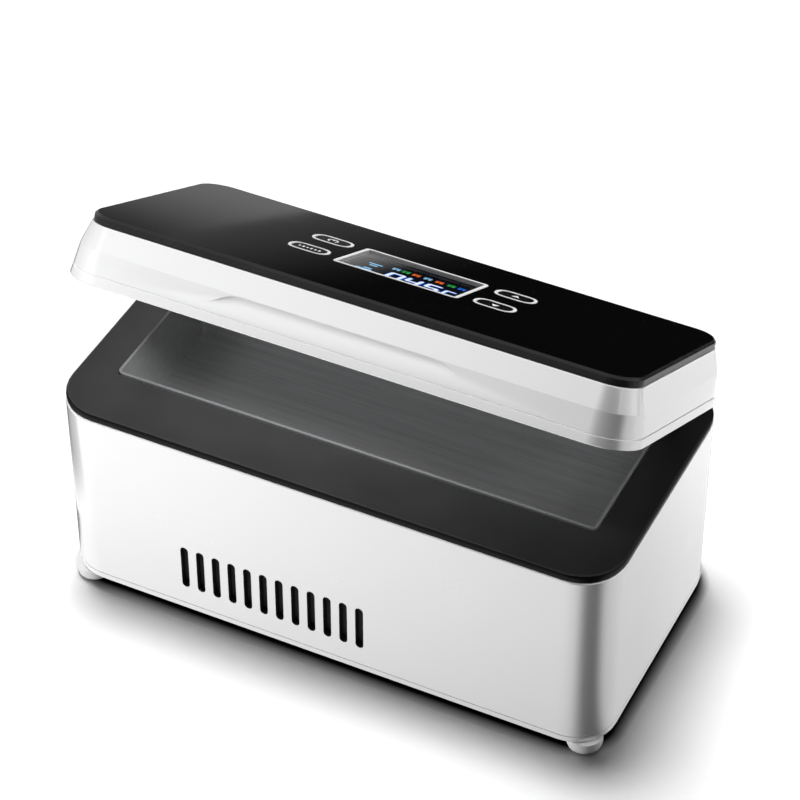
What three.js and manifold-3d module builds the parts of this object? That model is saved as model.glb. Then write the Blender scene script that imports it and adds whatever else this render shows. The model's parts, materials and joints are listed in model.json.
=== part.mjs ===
// Insulin cooling case: a cooled chamber for injection pens under a hinged lid with a display and four keys.
// Lengths are in millimetres. +X runs to the right-hand end, +Y to the hinge side and +Z up from the floor.

import * as THREE from "three";
import { mergeVertices } from "three/addons/utils/BufferGeometryUtils.js";
import Module from "manifold-3d";

const wasm = await Module();
wasm.setup();

// Fits
const SEAT_GAP = 0.3; // between two pieces that rest on or in one another
const OVERRUN = 2; // how far a cutter runs past the face it leaves
const MERGE_DISTANCE = 0.0005; // vertices closer than this are one

// Case
const CASE_LENGTH = 212;
const CASE_DEPTH = 106.6;
const CASE_HEIGHT = 80; // lower edge of the case to the top of the deck
const CASE_CORNER = 17;
const SHELL_INSET = 0.3; // the white mouldings lie this far inside the deck's outline
const SHELL_CORNER = 15.4;
const WALL = 2.4;
const SHELL_EDGE = 0.7; // round on the upper edge of the lower shell
const COVER_HEIGHT = 2.6; // thickness of the bottom cover, up to the seam
const COVER_EDGE = 0.6; // round on the lower edge of the bottom cover
const COVER_RIB = 1.5; // thickness of the cover's locating rib
const COVER_RIB_HEIGHT = 3;

// Vent slots, the same in the front and the back wall
const SLOT_COUNT = 12;
const SLOT_PITCH = 6.28;
const SLOT_WIDTH = 3.1;
const SLOT_HEIGHT = 19.4;
const SLOT_RISE = 20.7; // middle of a slot above the case's lower edge

// Feet and the screws that hold them and the bottom cover
const FOOT_HEIGHT = 5.8;
const FOOT_RADIUS = 6.4;
const FOOT_EDGE = 2.2; // round between the foot's side and its sole
const FOOT_END_INSET = 8.4; // foot's middle from the end of the case
const FOOT_SIDE_INSET = 7.7; // foot's middle from the front or the back of the case
const FOOT_HEAD_DEPTH = 2.6; // depth of the hollow that takes the screw's head
const SCREW_SHANK = 1.4; // radius
const SCREW_HEAD = 2.9; // radius
const SCREW_HEAD_HEIGHT = 1.7;
const SCREW_REACH = 10; // how far the screw goes into its post
const SCREW_SLOT_WIDTH = 0.8;
const SCREW_SLOT_DEPTH = 0.7;
const POST_RADIUS = 4.2;
const POST_HEIGHT = 14;

// Deck and chamber
const DECK_THICKNESS = 3;
const DECK_EDGE = 1.1; // round on the deck's outer edge
const SKIRT_WALL = 1.6; // locating skirt under the deck
const SKIRT_HEIGHT = 3.2;
const CHAMBER_END_MARGIN = 15.5; // chamber's end wall from the end of the case
const CHAMBER_SIDE_MARGIN = 24.1; // chamber's long wall from the front or the back of the case
const CHAMBER_HEIGHT = 26.5; // chamber floor to the top of the deck
const CHAMBER_CORNER = 1.2;
const LINER_WALL = 1;
const LINER_RIM = 0.8; // how far the liner's rim stands proud of the deck
const LINER_FLANGE = 3.4; // width of the flange that lies under the deck
const FOAM_END = 9;
const FOAM_SIDE = 11.6;
const FOAM_FLOOR = 11;
const FOAM_CORNER = 10;

// Cooling stage under the chamber
const STAGE_OFFSET_SHARE = 0.095; // of the case's length, from its middle to the left
const COLD_BLOCK_SIDE = 40;
const COLD_BLOCK_HEIGHT = 11.6;
const COLD_BLOCK_CORNER = 2;
const PELTIER_SIDE = 40;
const PELTIER_HEIGHT = 3.6;
const PELTIER_PLATE = 0.8; // thickness of each ceramic plate
const PELTIER_CORE_INSET = 1.2; // the couples lie this far inside the plates' edge
const LEAD_RADIUS = 0.9;
const LEAD_LENGTH = 7;
const LEAD_SPACING = 12;
const SINK_LENGTH_SHARE = 0.33; // of the case's length
const SINK_DEPTH = 62;
const SINK_BASE = 3.2;
const FIN_COUNT = 18;
const FIN_HEIGHT = 14;
const FIN_THICKNESS = 1.2;
const FIN_BREAK = 3; // width of the gap that crosses the fins
const FIN_BREAK_REST = 4; // height of fin left above that gap

// Fan
const FAN_SIDE = 60;
const FAN_HEIGHT = 10;
const FAN_CORNER = 4;
const FAN_BORE = 28; // radius
const FAN_BOLT_SPACING = 50;
const FAN_BOLT_RADIUS = 2.1;
const FAN_PLATE = 1.5; // thickness of the motor plate and its struts
const FAN_STRUT_WIDTH = 2.6;
const FAN_STRUT_COUNT = 4;
const FAN_TUBE = 2.7; // radius of the bearing tube
const FAN_TUBE_HEIGHT = 7;
const SHAFT_RADIUS = 1;
const HUB_RADIUS = 13;
const HUB_WALL = 1.2;
const HUB_LIFT = 0.8; // the rotor runs this far above the motor plate
const HUB_DROP = 0.6; // the rotor's face lies this far below the frame's face
const BLADE_COUNT = 9;
const BLADE_THICKNESS = 0.9;
const BLADE_TIP_GAP = 0.7;
const BLADE_ROOT_SINK = 0.5; // how deep the blades are rooted in the hub
const BLADE_ROOT_TWIST = THREE.MathUtils.degToRad(46);
const BLADE_TIP_TWIST = THREE.MathUtils.degToRad(27);
const BLADE_CHORD = 8.6;
const BLADE_STEPS = 4;
const FAN_POST = 3.2; // radius of the posts that carry the fan
const FAN_PIN = 1.7; // radius of the pins that centre it
const GUARD_RINGS = 4;
const GUARD_BAR = 2.6;
const GUARD_INNER = 5; // radius of the guard's solid middle

// Power and control pieces in the base
const CELL_RADIUS = 9.2;
const CELL_COUNT = 3;
const CELL_PITCH = 18.8;
const PACK_LENGTH_SHARE = 0.311; // of the case's length
const PACK_END_MARGIN = 15; // pack's end from the end of the case
const PACK_STRAP = 14; // width of the sleeve round the cells
const PACK_STRAP_WALL = 0.5;
const CRADLE_WALL = 1.8;
const CRADLE_HEIGHT = 8;
const CRADLE_WIDTH = 30;
const BOARD_LENGTH_SHARE = 0.151; // of the case's length
const BOARD_THICKNESS = 1.6;
const BOARD_END_MARGIN = 14; // board's outer edge from the end of the case
const BOARD_FRONT_MARGIN = 14.6; // board's front edge from the inner face of the front wall
const BOARD_BACK_MARGIN = 4.6; // board's back edge from the inner face of the back wall
const BOARD_LIFT = 4; // board's underside above the bottom cover
const BOARD_POST = 2.2;
const BOARD_POST_INSET = 4;
const CAPACITOR_RADIUS = 4;
const CAPACITOR_HEIGHT = 11;
const CAPACITOR_PITCH = 10;
const COIL_SIDE = 12;
const COIL_HEIGHT = 6;
const COIL_CORNER = 3;
const COIL_SHIFT = 22;
const PLUG_HEADER_LENGTH = 16;
const PLUG_HEADER_DEPTH = 6;
const PLUG_HEADER_HEIGHT = 7;
const JACK_WIDTH = 9;
const JACK_DEPTH = 13;
const JACK_HEIGHT = 10.6;
const JACK_NOSE = 4.4; // radius
const JACK_BORE = 3.1; // radius
const JACK_BORE_DEPTH = 9;
const JACK_PIN = 1;
const JACK_NOSE_SHORTFALL = 0.4; // the nose ends this far inside the shell's outer face
const SENSOR_RADIUS = 1.8;
const SENSOR_LENGTH = 16;
const SENSOR_DEPTH = 13; // sensor below the top of the deck

// Lid
const LID_OPENING = THREE.MathUtils.degToRad(28.3); // how far the lid stands open
const LID_GAP = 0.3; // closed lid above the deck
const LID_SIDE_HEIGHT = 11.6; // lower band, up to the break line
const LID_SIDE_INSET = 1.6; // break line inside the lid's lower outline
const LID_SHELL_HEIGHT = 19.8;
const LID_ROOF = 2.2;
const LID_EDGE = 0.5;
const LID_LEDGE = 0.5; // the shell's upper edge stands this far outside the panel
const LID_LINE_RISE = 3.6; // fine groove above the lid's lower edge
const LID_LINE_WIDTH = 0.5;
const LID_LINE_DEPTH = 0.25;
const PANEL_END_MARGIN = 5; // panel's end from the end of the case
const PANEL_SIDE_MARGIN = 4.9; // panel's front and back edge from the case's
const PANEL_CORNER = 10.6;
const PANEL_THICKNESS = 3;
const PANEL_BEVEL = 0.9;
const SCOOP_OFFSET = -1.4; // middle of the finger scoop from the middle of the lid
const SCOOP_TOP_WIDTH = 76.8;
const SCOOP_FLARE = 8.6; // the scoop's foot is this much wider than its top on each side
const SCOOP_FOOT_RISE = 6.8; // where the scoop starts above the lid's lower edge
const SCOOP_DEPTH = 2.6;
const SCOOP_CORNER = 4.2;
const SCOOP_PAD = 2.2; // thickness of the wall behind the scoop
const SCOOP_PAD_MARGIN = 3;
const LID_PLATE_RECESS = 1.5; // underside plate above the lid's lower edge
const LID_PLATE_THICKNESS = 1.8;
const LID_FOAM_MARGIN = 6;
const LID_FOAM_CORNER = 8;
const GASKET_MARGIN = 1.6; // gasket outside the liner's rim
const GASKET_WIDTH = 4;
const GASKET_DROP = 0.1; // gasket below the lid's lower edge

// Hinges
const HINGE_ROUND = 3.6; // round of the lid's lower back edge, about the hinge axis
const HINGE_END_MARGIN = 44; // each hinge's middle from the end of the case
const BARREL_RADIUS = 3.2;
const BARREL_WIDTH = 14;
const KNUCKLE_WIDTH = 13; // lid knuckle on each side of the barrel
const PIN_RADIUS = 1.5;
const PIN_FIT = 0.08; // running clearance, radius
const LEAF_THICKNESS = 2.6;
const LEAF_WIDTH = 26;
const LEAF_HEIGHT = 17;
const LEAF_CORNER = 2;
const STUD_RADIUS = 1.3;
const STUD_SPACING = 17;
const STUD_DROP = 10; // studs below the deck's underside
const STUD_PROUD = 0.6;
const NOTCH_RISE = 3; // notch above the hinge axis at the lid's back

// Magnetic catch
const MAGNET_RADIUS = 2.5;
const MAGNET_HEIGHT = 3;
const MAGNET_END_MARGIN = 34; // magnet's middle from the end of the case
const MAGNET_CUP_WALL = 0.9;
const MAGNET_WALL_GAP = 4.4; // magnet's middle from the inner face of the front wall

// Display and keys
const DISPLAY_LENGTH = 46.8;
const DISPLAY_DEPTH = 31.2;
const DISPLAY_SHIFT = 3.2; // middle of the display behind the middle of the lid
const DISPLAY_BORDER = 1.2;
const DISPLAY_CORNER = 1.5;
const INLAY_PROUD = 0.1; // frame and key rings above the panel
const WINDOW_THICKNESS = 1.2;
const LCD_BOARD_MARGIN = 1.6;
const LCD_BOARD_THICKNESS = 1.4;
const CONTROL_BOARD_LENGTH = 104;
const CONTROL_BOARD_DEPTH = 44;
const CONTROL_BOARD_SHIFT = 4.4;
const CONTROL_POST = 2.6;
const CONTROL_POST_HEIGHT = 4.4;
const CONTROL_POST_INSET = 4;
const KEY_LENGTH = 15;
const KEY_DEPTH = 10;
const KEY_CORNER = 4;
const KEY_BORDER = 1;
const KEY_FIT = 0.25; // cap to ring
const KEY_COLUMN = 35.1; // key's middle from the middle of the lid
const KEY_ROW_SPACING = 20.1;
const KEY_ROW_SHIFT = 4.4; // middle of the two rows behind the middle of the lid
const KEY_TRAVEL = 0.5;
const KEY_TRAVEL_SPARE = 0.2;
const KEY_STEM = 1.6; // radius
const KEY_FLANGE = 2.6; // radius
const KEY_FLANGE_THICKNESS = 1;
const SWITCH_SIDE = 6;
const SWITCH_HEIGHT = 1.9;

// Smoothness
const QUARTER_TURN = Math.PI / 2;
const LARGE_CORNER = 6; // corners from this radius up get the finer steps
const LEAST_CORNER = 0.2; // round left on a corner when its outline is drawn inwards
const CORNER_STEPS = 8;
const SMALL_CORNER_STEPS = 3;
const EDGE_STEPS = 3;
const ROUND_STEPS = 20;
const BORE_STEPS = 40;

// Places that several pieces share
const DECK_TOP = FOOT_HEIGHT + CASE_HEIGHT;
const DECK_UNDERSIDE = DECK_TOP - DECK_THICKNESS;
const COVER_TOP = FOOT_HEIGHT + COVER_HEIGHT;
const SHELL_BOTTOM = COVER_TOP + SEAT_GAP;
const SHELL_TOP = DECK_UNDERSIDE - SEAT_GAP;
const DECK_OUTLINE = { length: CASE_LENGTH, depth: CASE_DEPTH, corner: CASE_CORNER };
const SHELL_OUTLINE = { ...inset(DECK_OUTLINE, SHELL_INSET), corner: SHELL_CORNER };
const CAVITY_OUTLINE = inset(SHELL_OUTLINE, WALL);
const FRONT_WALL = CAVITY_OUTLINE.depth / 2; // inner face of the front and back walls
const CHAMBER_OUTLINE = {
  length: CASE_LENGTH - 2 * CHAMBER_END_MARGIN,
  depth: CASE_DEPTH - 2 * CHAMBER_SIDE_MARGIN,
  corner: CHAMBER_CORNER,
};
const LINER_OUTLINE = inset(CHAMBER_OUTLINE, -LINER_WALL);
const LINER_HOLE = inset(LINER_OUTLINE, -SEAT_GAP);
const LINER_UNDERSIDE = DECK_TOP - CHAMBER_HEIGHT - LINER_WALL;
const FLANGE_TOP = DECK_UNDERSIDE - SEAT_GAP;
const FOAM_TOP = FLANGE_TOP - LINER_WALL - SEAT_GAP;
const FOAM_CAVITY_FLOOR = LINER_UNDERSIDE - SEAT_GAP;
const FOAM_BOTTOM = FOAM_CAVITY_FLOOR - FOAM_FLOOR;
const COLD_BLOCK_BOTTOM = FOAM_CAVITY_FLOOR - COLD_BLOCK_HEIGHT;
const PELTIER_TOP = COLD_BLOCK_BOTTOM - SEAT_GAP;
const SINK_TOP = PELTIER_TOP - PELTIER_HEIGHT - SEAT_GAP;
const SINK_BOTTOM = SINK_TOP - SINK_BASE - FIN_HEIGHT;
const FAN_TOP = SINK_BOTTOM - SEAT_GAP;
const FAN_BOTTOM = FAN_TOP - FAN_HEIGHT;
const FOOT_X = CASE_LENGTH / 2 - FOOT_END_INSET;
const FOOT_Y = CASE_DEPTH / 2 - FOOT_SIDE_INSET;
const SLOT_Z = FOOT_HEIGHT + SLOT_RISE;
const STAGE_X = -STAGE_OFFSET_SHARE * CASE_LENGTH;
const SINK_LENGTH = SINK_LENGTH_SHARE * CASE_LENGTH;
const PACK_LENGTH = PACK_LENGTH_SHARE * CASE_LENGTH;
const PACK_X = (CASE_LENGTH - PACK_LENGTH) / 2 - PACK_END_MARGIN;
const BOARD_LENGTH = BOARD_LENGTH_SHARE * CASE_LENGTH;
const BOARD_DEPTH = CAVITY_OUTLINE.depth - BOARD_FRONT_MARGIN - BOARD_BACK_MARGIN;
const BOARD_X = BOARD_END_MARGIN - (CASE_LENGTH - BOARD_LENGTH) / 2;
const BOARD_Y = (BOARD_FRONT_MARGIN - BOARD_BACK_MARGIN) / 2;
const BOARD_BOTTOM = COVER_TOP + BOARD_LIFT;
const BOARD_TOP = BOARD_BOTTOM + BOARD_THICKNESS;
const PACK_BOTTOM = COVER_TOP + SEAT_GAP + PACK_STRAP_WALL;
const JACK_BOTTOM = BOARD_TOP + SEAT_GAP;
const JACK_Z = JACK_BOTTOM + JACK_HEIGHT / 2;
const JACK_BACK = FRONT_WALL - SEAT_GAP;
const HINGE_X = CASE_LENGTH / 2 - HINGE_END_MARGIN;
const HINGE_Y = SHELL_OUTLINE.depth / 2 - HINGE_ROUND;
const HINGE_Z = DECK_TOP + LID_GAP + HINGE_ROUND;
const LEAF_BACK = FRONT_WALL - SEAT_GAP;
const LEAF_FRONT = LEAF_BACK - LEAF_THICKNESS;
const LEAF_TOP = DECK_UNDERSIDE - SEAT_GAP;
const STUD_Z = DECK_UNDERSIDE - STUD_DROP;
const MAGNET_X = CASE_LENGTH / 2 - MAGNET_END_MARGIN;
const MAGNET_Y = MAGNET_WALL_GAP - FRONT_WALL;
const BASE_MAGNET_TOP = DECK_UNDERSIDE - SEAT_GAP;

// Places inside the lid, measured from the lower edge of the closed lid
const LID_AXIS_Z = HINGE_ROUND;
const ROOF_UNDERSIDE = LID_SHELL_HEIGHT - LID_ROOF;
const PANEL_BOTTOM = LID_SHELL_HEIGHT + SEAT_GAP;
const PANEL_TOP = PANEL_BOTTOM + PANEL_THICKNESS;
const WINDOW_BOTTOM = PANEL_TOP - WINDOW_THICKNESS;
const PANEL_OUTLINE = {
  length: CASE_LENGTH - 2 * PANEL_END_MARGIN,
  depth: CASE_DEPTH - 2 * PANEL_SIDE_MARGIN,
  corner: PANEL_CORNER,
};
const SCOOP_FOOT_WIDTH = SCOOP_TOP_WIDTH + 2 * SCOOP_FLARE;
const LID_BREAK_OUTLINE = inset(SHELL_OUTLINE, LID_SIDE_INSET);
const LID_PLATE_TOP = LID_PLATE_RECESS + LID_PLATE_THICKNESS;
const LID_CAVITY_OUTLINE = inset(LID_BREAK_OUTLINE, WALL);
const CONTROL_BOARD_TOP = ROOF_UNDERSIDE - CONTROL_POST_HEIGHT - SEAT_GAP;
const CONTROL_BOARD_BOTTOM = CONTROL_BOARD_TOP - BOARD_THICKNESS;
const LID_FOAM_BOTTOM = LID_PLATE_TOP + SEAT_GAP;
const LID_FOAM_TOP = CONTROL_BOARD_BOTTOM - SEAT_GAP;
const DISPLAY_OUTLINE = { length: DISPLAY_LENGTH, depth: DISPLAY_DEPTH, corner: DISPLAY_CORNER };
const KEY_OUTLINE = { length: KEY_LENGTH, depth: KEY_DEPTH, corner: KEY_CORNER };
const KEY_STEM_BOTTOM = CONTROL_BOARD_TOP + SWITCH_HEIGHT + KEY_TRAVEL + KEY_TRAVEL_SPARE;
const KEY_CAP_BOTTOM = LID_SHELL_HEIGHT + KEY_TRAVEL + KEY_TRAVEL_SPARE;
const KEYS = [
  { name: "front_left", x: -KEY_COLUMN, y: KEY_ROW_SHIFT - KEY_ROW_SPACING / 2 },
  { name: "back_left", x: -KEY_COLUMN, y: KEY_ROW_SHIFT + KEY_ROW_SPACING / 2 },
  { name: "front_right", x: KEY_COLUMN, y: KEY_ROW_SHIFT - KEY_ROW_SPACING / 2 },
  { name: "back_right", x: KEY_COLUMN, y: KEY_ROW_SHIFT + KEY_ROW_SPACING / 2 },
];
const SIDES = [
  { name: "left", sign: -1 },
  { name: "right", sign: 1 },
];
const CORNERS = [
  { name: "front_left", x: -1, y: -1 },
  { name: "front_right", x: 1, y: -1 },
  { name: "back_left", x: -1, y: 1 },
  { name: "back_right", x: 1, y: 1 },
];

// Finishes
const FINISH = {
  whitePlastic: { color: 0xe9eaeb, roughness: 0.22, metalness: 0 },
  blackPlastic: { color: 0x232425, roughness: 0.42, metalness: 0 },
  blackGloss: { color: 0x0a0a0b, roughness: 0.06, metalness: 0 },
  clearLens: { color: 0x16181b, roughness: 0.05, metalness: 0 },
  whiteInlay: { color: 0xf4f5f5, roughness: 0.4, metalness: 0 },
  aluminium: { color: 0xa9abad, roughness: 0.38, metalness: 1 },
  blackAluminium: { color: 0x3b3d3f, roughness: 0.5, metalness: 1 },
  steel: { color: 0xb9bbbd, roughness: 0.3, metalness: 1 },
  foam: { color: 0xdfe0dc, roughness: 0.95, metalness: 0 },
  rubber: { color: 0xdcdedd, roughness: 0.6, metalness: 0 },
  gasketRubber: { color: 0x8d8f90, roughness: 0.75, metalness: 0 },
  ceramic: { color: 0xf0efe9, roughness: 0.7, metalness: 0 },
  board: { color: 0x1f5a3a, roughness: 0.55, metalness: 0 },
  sleeve: { color: 0x2c5f9e, roughness: 0.35, metalness: 0 },
};

// Geometry helpers

function inset(outline, by) {
  return {
    length: outline.length - 2 * by,
    depth: outline.depth - 2 * by,
    corner: Math.max(outline.corner - by, LEAST_CORNER),
  };
}

function about(centre, width) {
  return [centre - width / 2, centre + width / 2];
}

function solidOf(geometry) {
  const bare = new THREE.BufferGeometry();
  bare.setAttribute("position", geometry.getAttribute("position"));
  bare.setIndex(geometry.getIndex());
  const merged = mergeVertices(bare, MERGE_DISTANCE);
  return new wasm.Manifold(
    new wasm.Mesh({
      numProp: 3,
      vertProperties: merged.getAttribute("position").array,
      triVerts: new Uint32Array(merged.getIndex().array),
    }),
  );
}

function joined(first, ...others) {
  return others.reduce((whole, next) => whole.add(next), first);
}

function without(body, ...tools) {
  return tools.reduce((rest, tool) => rest.subtract(tool), body);
}

function meshOf(name, solid, finish) {
  const { vertProperties, triVerts } = solid.getMesh();
  const indexed = new THREE.BufferGeometry();
  indexed.setAttribute("position", new THREE.BufferAttribute(vertProperties, 3));
  indexed.setIndex(new THREE.BufferAttribute(triVerts, 1));
  const geometry = indexed.toNonIndexed();
  geometry.computeVertexNormals();
  const mesh = new THREE.Mesh(geometry, new THREE.MeshStandardMaterial(finish));
  mesh.name = name;
  return mesh;
}

function cornerSteps({ corner }) {
  return corner < LARGE_CORNER ? SMALL_CORNER_STEPS : CORNER_STEPS;
}

// Points of a rounded rectangle about the origin, anticlockwise.
function outlinePoints(outline, steps = cornerSteps(outline)) {
  const { length, depth, corner } = outline;
  const quarters = [
    [1, 1],
    [-1, 1],
    [-1, -1],
    [1, -1],
  ];
  return quarters.flatMap(([right, back], quarter) =>
    Array.from({ length: steps + 1 }, (_, step) => {
      const angle = (quarter + step / steps) * QUARTER_TURN;
      return new THREE.Vector2(
        right * (length / 2 - corner) + corner * Math.cos(angle),
        back * (depth / 2 - corner) + corner * Math.sin(angle),
      );
    }),
  );
}

// A closed skin through level rounded rectangles, from the lowest to the highest.
function loft(rings) {
  const steps = cornerSteps(rings[0]);
  const loops = rings.map((ring) => outlinePoints(ring, steps).map((p) => [p.x, p.y, ring.z]));
  const count = loops[0].length;
  const positions = loops.flat(2);
  const lowCentre = positions.length / 3;
  positions.push(0, 0, rings[0].z, 0, 0, rings.at(-1).z);
  const highCentre = lowCentre + 1;
  const lastLoop = (loops.length - 1) * count;
  const index = [];
  for (let i = 0; i < count; i += 1) {
    const next = (i + 1) % count;
    index.push(lowCentre, next, i);
    index.push(highCentre, lastLoop + i, lastLoop + next);
    for (let loop = 0; loop < loops.length - 1; loop += 1) {
      const low = loop * count;
      const high = low + count;
      index.push(low + i, low + next, high + next);
      index.push(low + i, high + next, high + i);
    }
  }
  const geometry = new THREE.BufferGeometry();
  geometry.setAttribute("position", new THREE.Float32BufferAttribute(positions, 3));
  geometry.setIndex(index);
  return solidOf(geometry);
}

// Rings that round the upper edge of an outline.
function roundedTop(outline, z, radius) {
  return Array.from({ length: EDGE_STEPS + 1 }, (_, step) => {
    const angle = (step / EDGE_STEPS) * QUARTER_TURN;
    return {
      ...inset(outline, radius * (1 - Math.cos(angle))),
      z: z - radius * (1 - Math.sin(angle)),
    };
  });
}

// Rings that round the lower edge of an outline.
function roundedBottom(outline, z, radius) {
  return roundedTop(outline, -z, radius)
    .map((ring) => ({ ...ring, z: -ring.z }))
    .reverse();
}

function tray(outline, [low, high]) {
  return loft([
    { ...outline, z: low },
    { ...outline, z: high },
  ]);
}

function slab([left, right], [front, back], [low, high]) {
  return solidOf(
    new THREE.BoxGeometry(right - left, back - front, high - low).translate(
      (left + right) / 2,
      (front + back) / 2,
      (low + high) / 2,
    ),
  );
}

function prism(points, [low, high], holes = []) {
  const shape = new THREE.Shape(points);
  shape.holes = holes.map((hole) => new THREE.Path(hole));
  const geometry = new THREE.ExtrudeGeometry(shape, { depth: high - low, bevelEnabled: false });
  return geometry.translate(0, 0, low);
}

// Stands a prism drawn in X and Z along Y, its far end at the higher Y.
function prismAlongY(points, [front, back]) {
  return prism(points, [0, back - front])
    .rotateX(QUARTER_TURN)
    .translate(0, back, 0);
}

// Lays a prism drawn in Y and Z along X.
function prismAlongX(points, [left, right]) {
  const turn = new THREE.Matrix4().makeBasis(
    new THREE.Vector3(0, 1, 0),
    new THREE.Vector3(0, 0, 1),
    new THREE.Vector3(1, 0, 0),
  );
  return prism(points, [left, right]).applyMatrix4(turn);
}

function rod(radius, [low, high], x = 0, y = 0, steps = ROUND_STEPS) {
  return solidOf(
    new THREE.CylinderGeometry(radius, radius, high - low, steps)
      .rotateX(QUARTER_TURN)
      .translate(x, y, (low + high) / 2),
  );
}

function rodAlongX(radius, [left, right], y, z, steps = ROUND_STEPS) {
  return solidOf(
    new THREE.CylinderGeometry(radius, radius, right - left, steps)
      .rotateZ(QUARTER_TURN)
      .translate((left + right) / 2, y, z),
  );
}

function rodAlongY(radius, [front, back], x, z, steps = ROUND_STEPS) {
  return solidOf(
    new THREE.CylinderGeometry(radius, radius, back - front, steps).translate(x, (front + back) / 2, z),
  );
}

// Turns a profile of radius and height about the Z axis.
function turned(profile, steps = ROUND_STEPS) {
  const points = profile.map(([radius, height]) => new THREE.Vector2(radius, height));
  return solidOf(new THREE.LatheGeometry(points, steps).rotateX(QUARTER_TURN));
}

// Base mouldings

function ventSlots() {
  const slot = { length: SLOT_WIDTH, depth: SLOT_HEIGHT, corner: SLOT_WIDTH / 2 };
  const profile = outlinePoints(slot);
  const reach = SHELL_OUTLINE.depth / 2 + OVERRUN;
  return Array.from({ length: SLOT_COUNT }, (_, i) => {
    const x = STAGE_X + (i - (SLOT_COUNT - 1) / 2) * SLOT_PITCH;
    return solidOf(prismAlongY(profile, [-reach, reach]).translate(x, 0, SLOT_Z));
  });
}

function lowerShell() {
  const block = loft([
    { ...SHELL_OUTLINE, z: SHELL_BOTTOM },
    ...roundedTop(SHELL_OUTLINE, SHELL_TOP, SHELL_EDGE),
  ]);
  const cavity = tray(CAVITY_OUTLINE, [SHELL_BOTTOM - OVERRUN, SHELL_TOP + OVERRUN]);
  const posts = CORNERS.map(({ x, y }) =>
    rod(POST_RADIUS, [SHELL_BOTTOM, SHELL_BOTTOM + POST_HEIGHT], x * FOOT_X, y * FOOT_Y).intersect(block),
  );
  const pilots = CORNERS.map(({ x, y }) =>
    rod(
      SCREW_SHANK + SEAT_GAP,
      [SHELL_BOTTOM - OVERRUN, SHELL_BOTTOM + SCREW_REACH + SEAT_GAP],
      x * FOOT_X,
      y * FOOT_Y,
    ),
  );
  const studs = SIDES.flatMap(({ sign: hinge }) =>
    SIDES.map(({ sign: stud }) =>
      rodAlongY(
        STUD_RADIUS,
        [LEAF_FRONT - STUD_PROUD, FRONT_WALL + WALL / 2],
        hinge * HINGE_X + (stud * STUD_SPACING) / 2,
        STUD_Z,
      ),
    ),
  );
  const jackHole = rodAlongY(
    JACK_NOSE + SEAT_GAP,
    [FRONT_WALL - OVERRUN, FRONT_WALL + WALL + OVERRUN],
    BOARD_X,
    JACK_Z,
  );
  return meshOf(
    "lower_shell",
    without(joined(block.subtract(cavity), ...posts, ...studs), ...pilots, ...ventSlots(), jackHole),
    FINISH.whitePlastic,
  );
}

function intakeSlots() {
  const span = [FOOT_HEIGHT - OVERRUN, COVER_TOP + OVERRUN];
  const pitch = (FAN_BORE - GUARD_INNER) / GUARD_RINGS;
  const rings = Array.from({ length: GUARD_RINGS }, (_, i) => {
    const outer = GUARD_INNER + (i + 1) * pitch;
    return rod(outer, span, 0, 0, BORE_STEPS).subtract(
      rod(outer - pitch + GUARD_BAR, [span[0] - OVERRUN, span[1] + OVERRUN], 0, 0, BORE_STEPS),
    );
  });
  const bars = [0, 1, 2].map((turn) =>
    solidOf(
      new THREE.BoxGeometry(2 * FAN_BORE + OVERRUN, GUARD_BAR, COVER_HEIGHT + 4 * OVERRUN)
        .rotateZ((turn * Math.PI) / 3)
        .translate(0, 0, (span[0] + span[1]) / 2),
    ),
  );
  return without(joined(...rings), ...bars).translate([STAGE_X, 0, 0]);
}

function bottomCover() {
  const plate = loft([
    ...roundedBottom(SHELL_OUTLINE, FOOT_HEIGHT, COVER_EDGE),
    { ...SHELL_OUTLINE, z: COVER_TOP },
  ]);
  const ribOutline = inset(CAVITY_OUTLINE, SEAT_GAP);
  const rib = tray(ribOutline, [COVER_TOP - COVER_HEIGHT / 2, COVER_TOP + COVER_RIB_HEIGHT]).subtract(
    tray(inset(ribOutline, COVER_RIB), [COVER_TOP - COVER_HEIGHT, COVER_TOP + COVER_RIB_HEIGHT + OVERRUN]),
  );
  const postRooms = CORNERS.map(({ x, y }) =>
    rod(POST_RADIUS + SEAT_GAP, [COVER_TOP, COVER_TOP + COVER_RIB_HEIGHT + OVERRUN], x * FOOT_X, y * FOOT_Y),
  );
  const screwHoles = CORNERS.map(({ x, y }) =>
    rod(SCREW_SHANK + SEAT_GAP, [FOOT_HEIGHT - OVERRUN, COVER_TOP + OVERRUN], x * FOOT_X, y * FOOT_Y),
  );
  const fanPosts = CORNERS.map(({ x, y }) => {
    const at = [STAGE_X + (x * FAN_BOLT_SPACING) / 2, (y * FAN_BOLT_SPACING) / 2];
    return joined(
      rod(FAN_POST, [COVER_TOP - COVER_HEIGHT / 2, FAN_BOTTOM - SEAT_GAP], ...at),
      rod(FAN_PIN, [COVER_TOP, FAN_BOTTOM + FAN_HEIGHT / 2], ...at),
    );
  });
  const boardPosts = CORNERS.map(({ x, y }) =>
    rod(
      BOARD_POST,
      [COVER_TOP - COVER_HEIGHT / 2, BOARD_BOTTOM - SEAT_GAP],
      BOARD_X + x * (BOARD_LENGTH / 2 - BOARD_POST_INSET),
      BOARD_Y + y * (BOARD_DEPTH / 2 - BOARD_POST_INSET),
    ),
  );
  const cradles = SIDES.map(({ sign }) => {
    const x = PACK_X + sign * (PACK_LENGTH / 2 + SEAT_GAP + CRADLE_WALL / 2);
    const span = [COVER_TOP - COVER_HEIGHT / 2, COVER_TOP + CRADLE_HEIGHT];
    return slab(about(x, CRADLE_WALL), about(0, CRADLE_WIDTH), span);
  });
  return meshOf(
    "bottom_cover",
    without(
      joined(plate, rib.subtract(joined(...postRooms)), ...fanPosts, ...boardPosts, ...cradles),
      ...screwHoles,
      intakeSlots(),
    ),
    FINISH.whitePlastic,
  );
}

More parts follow.
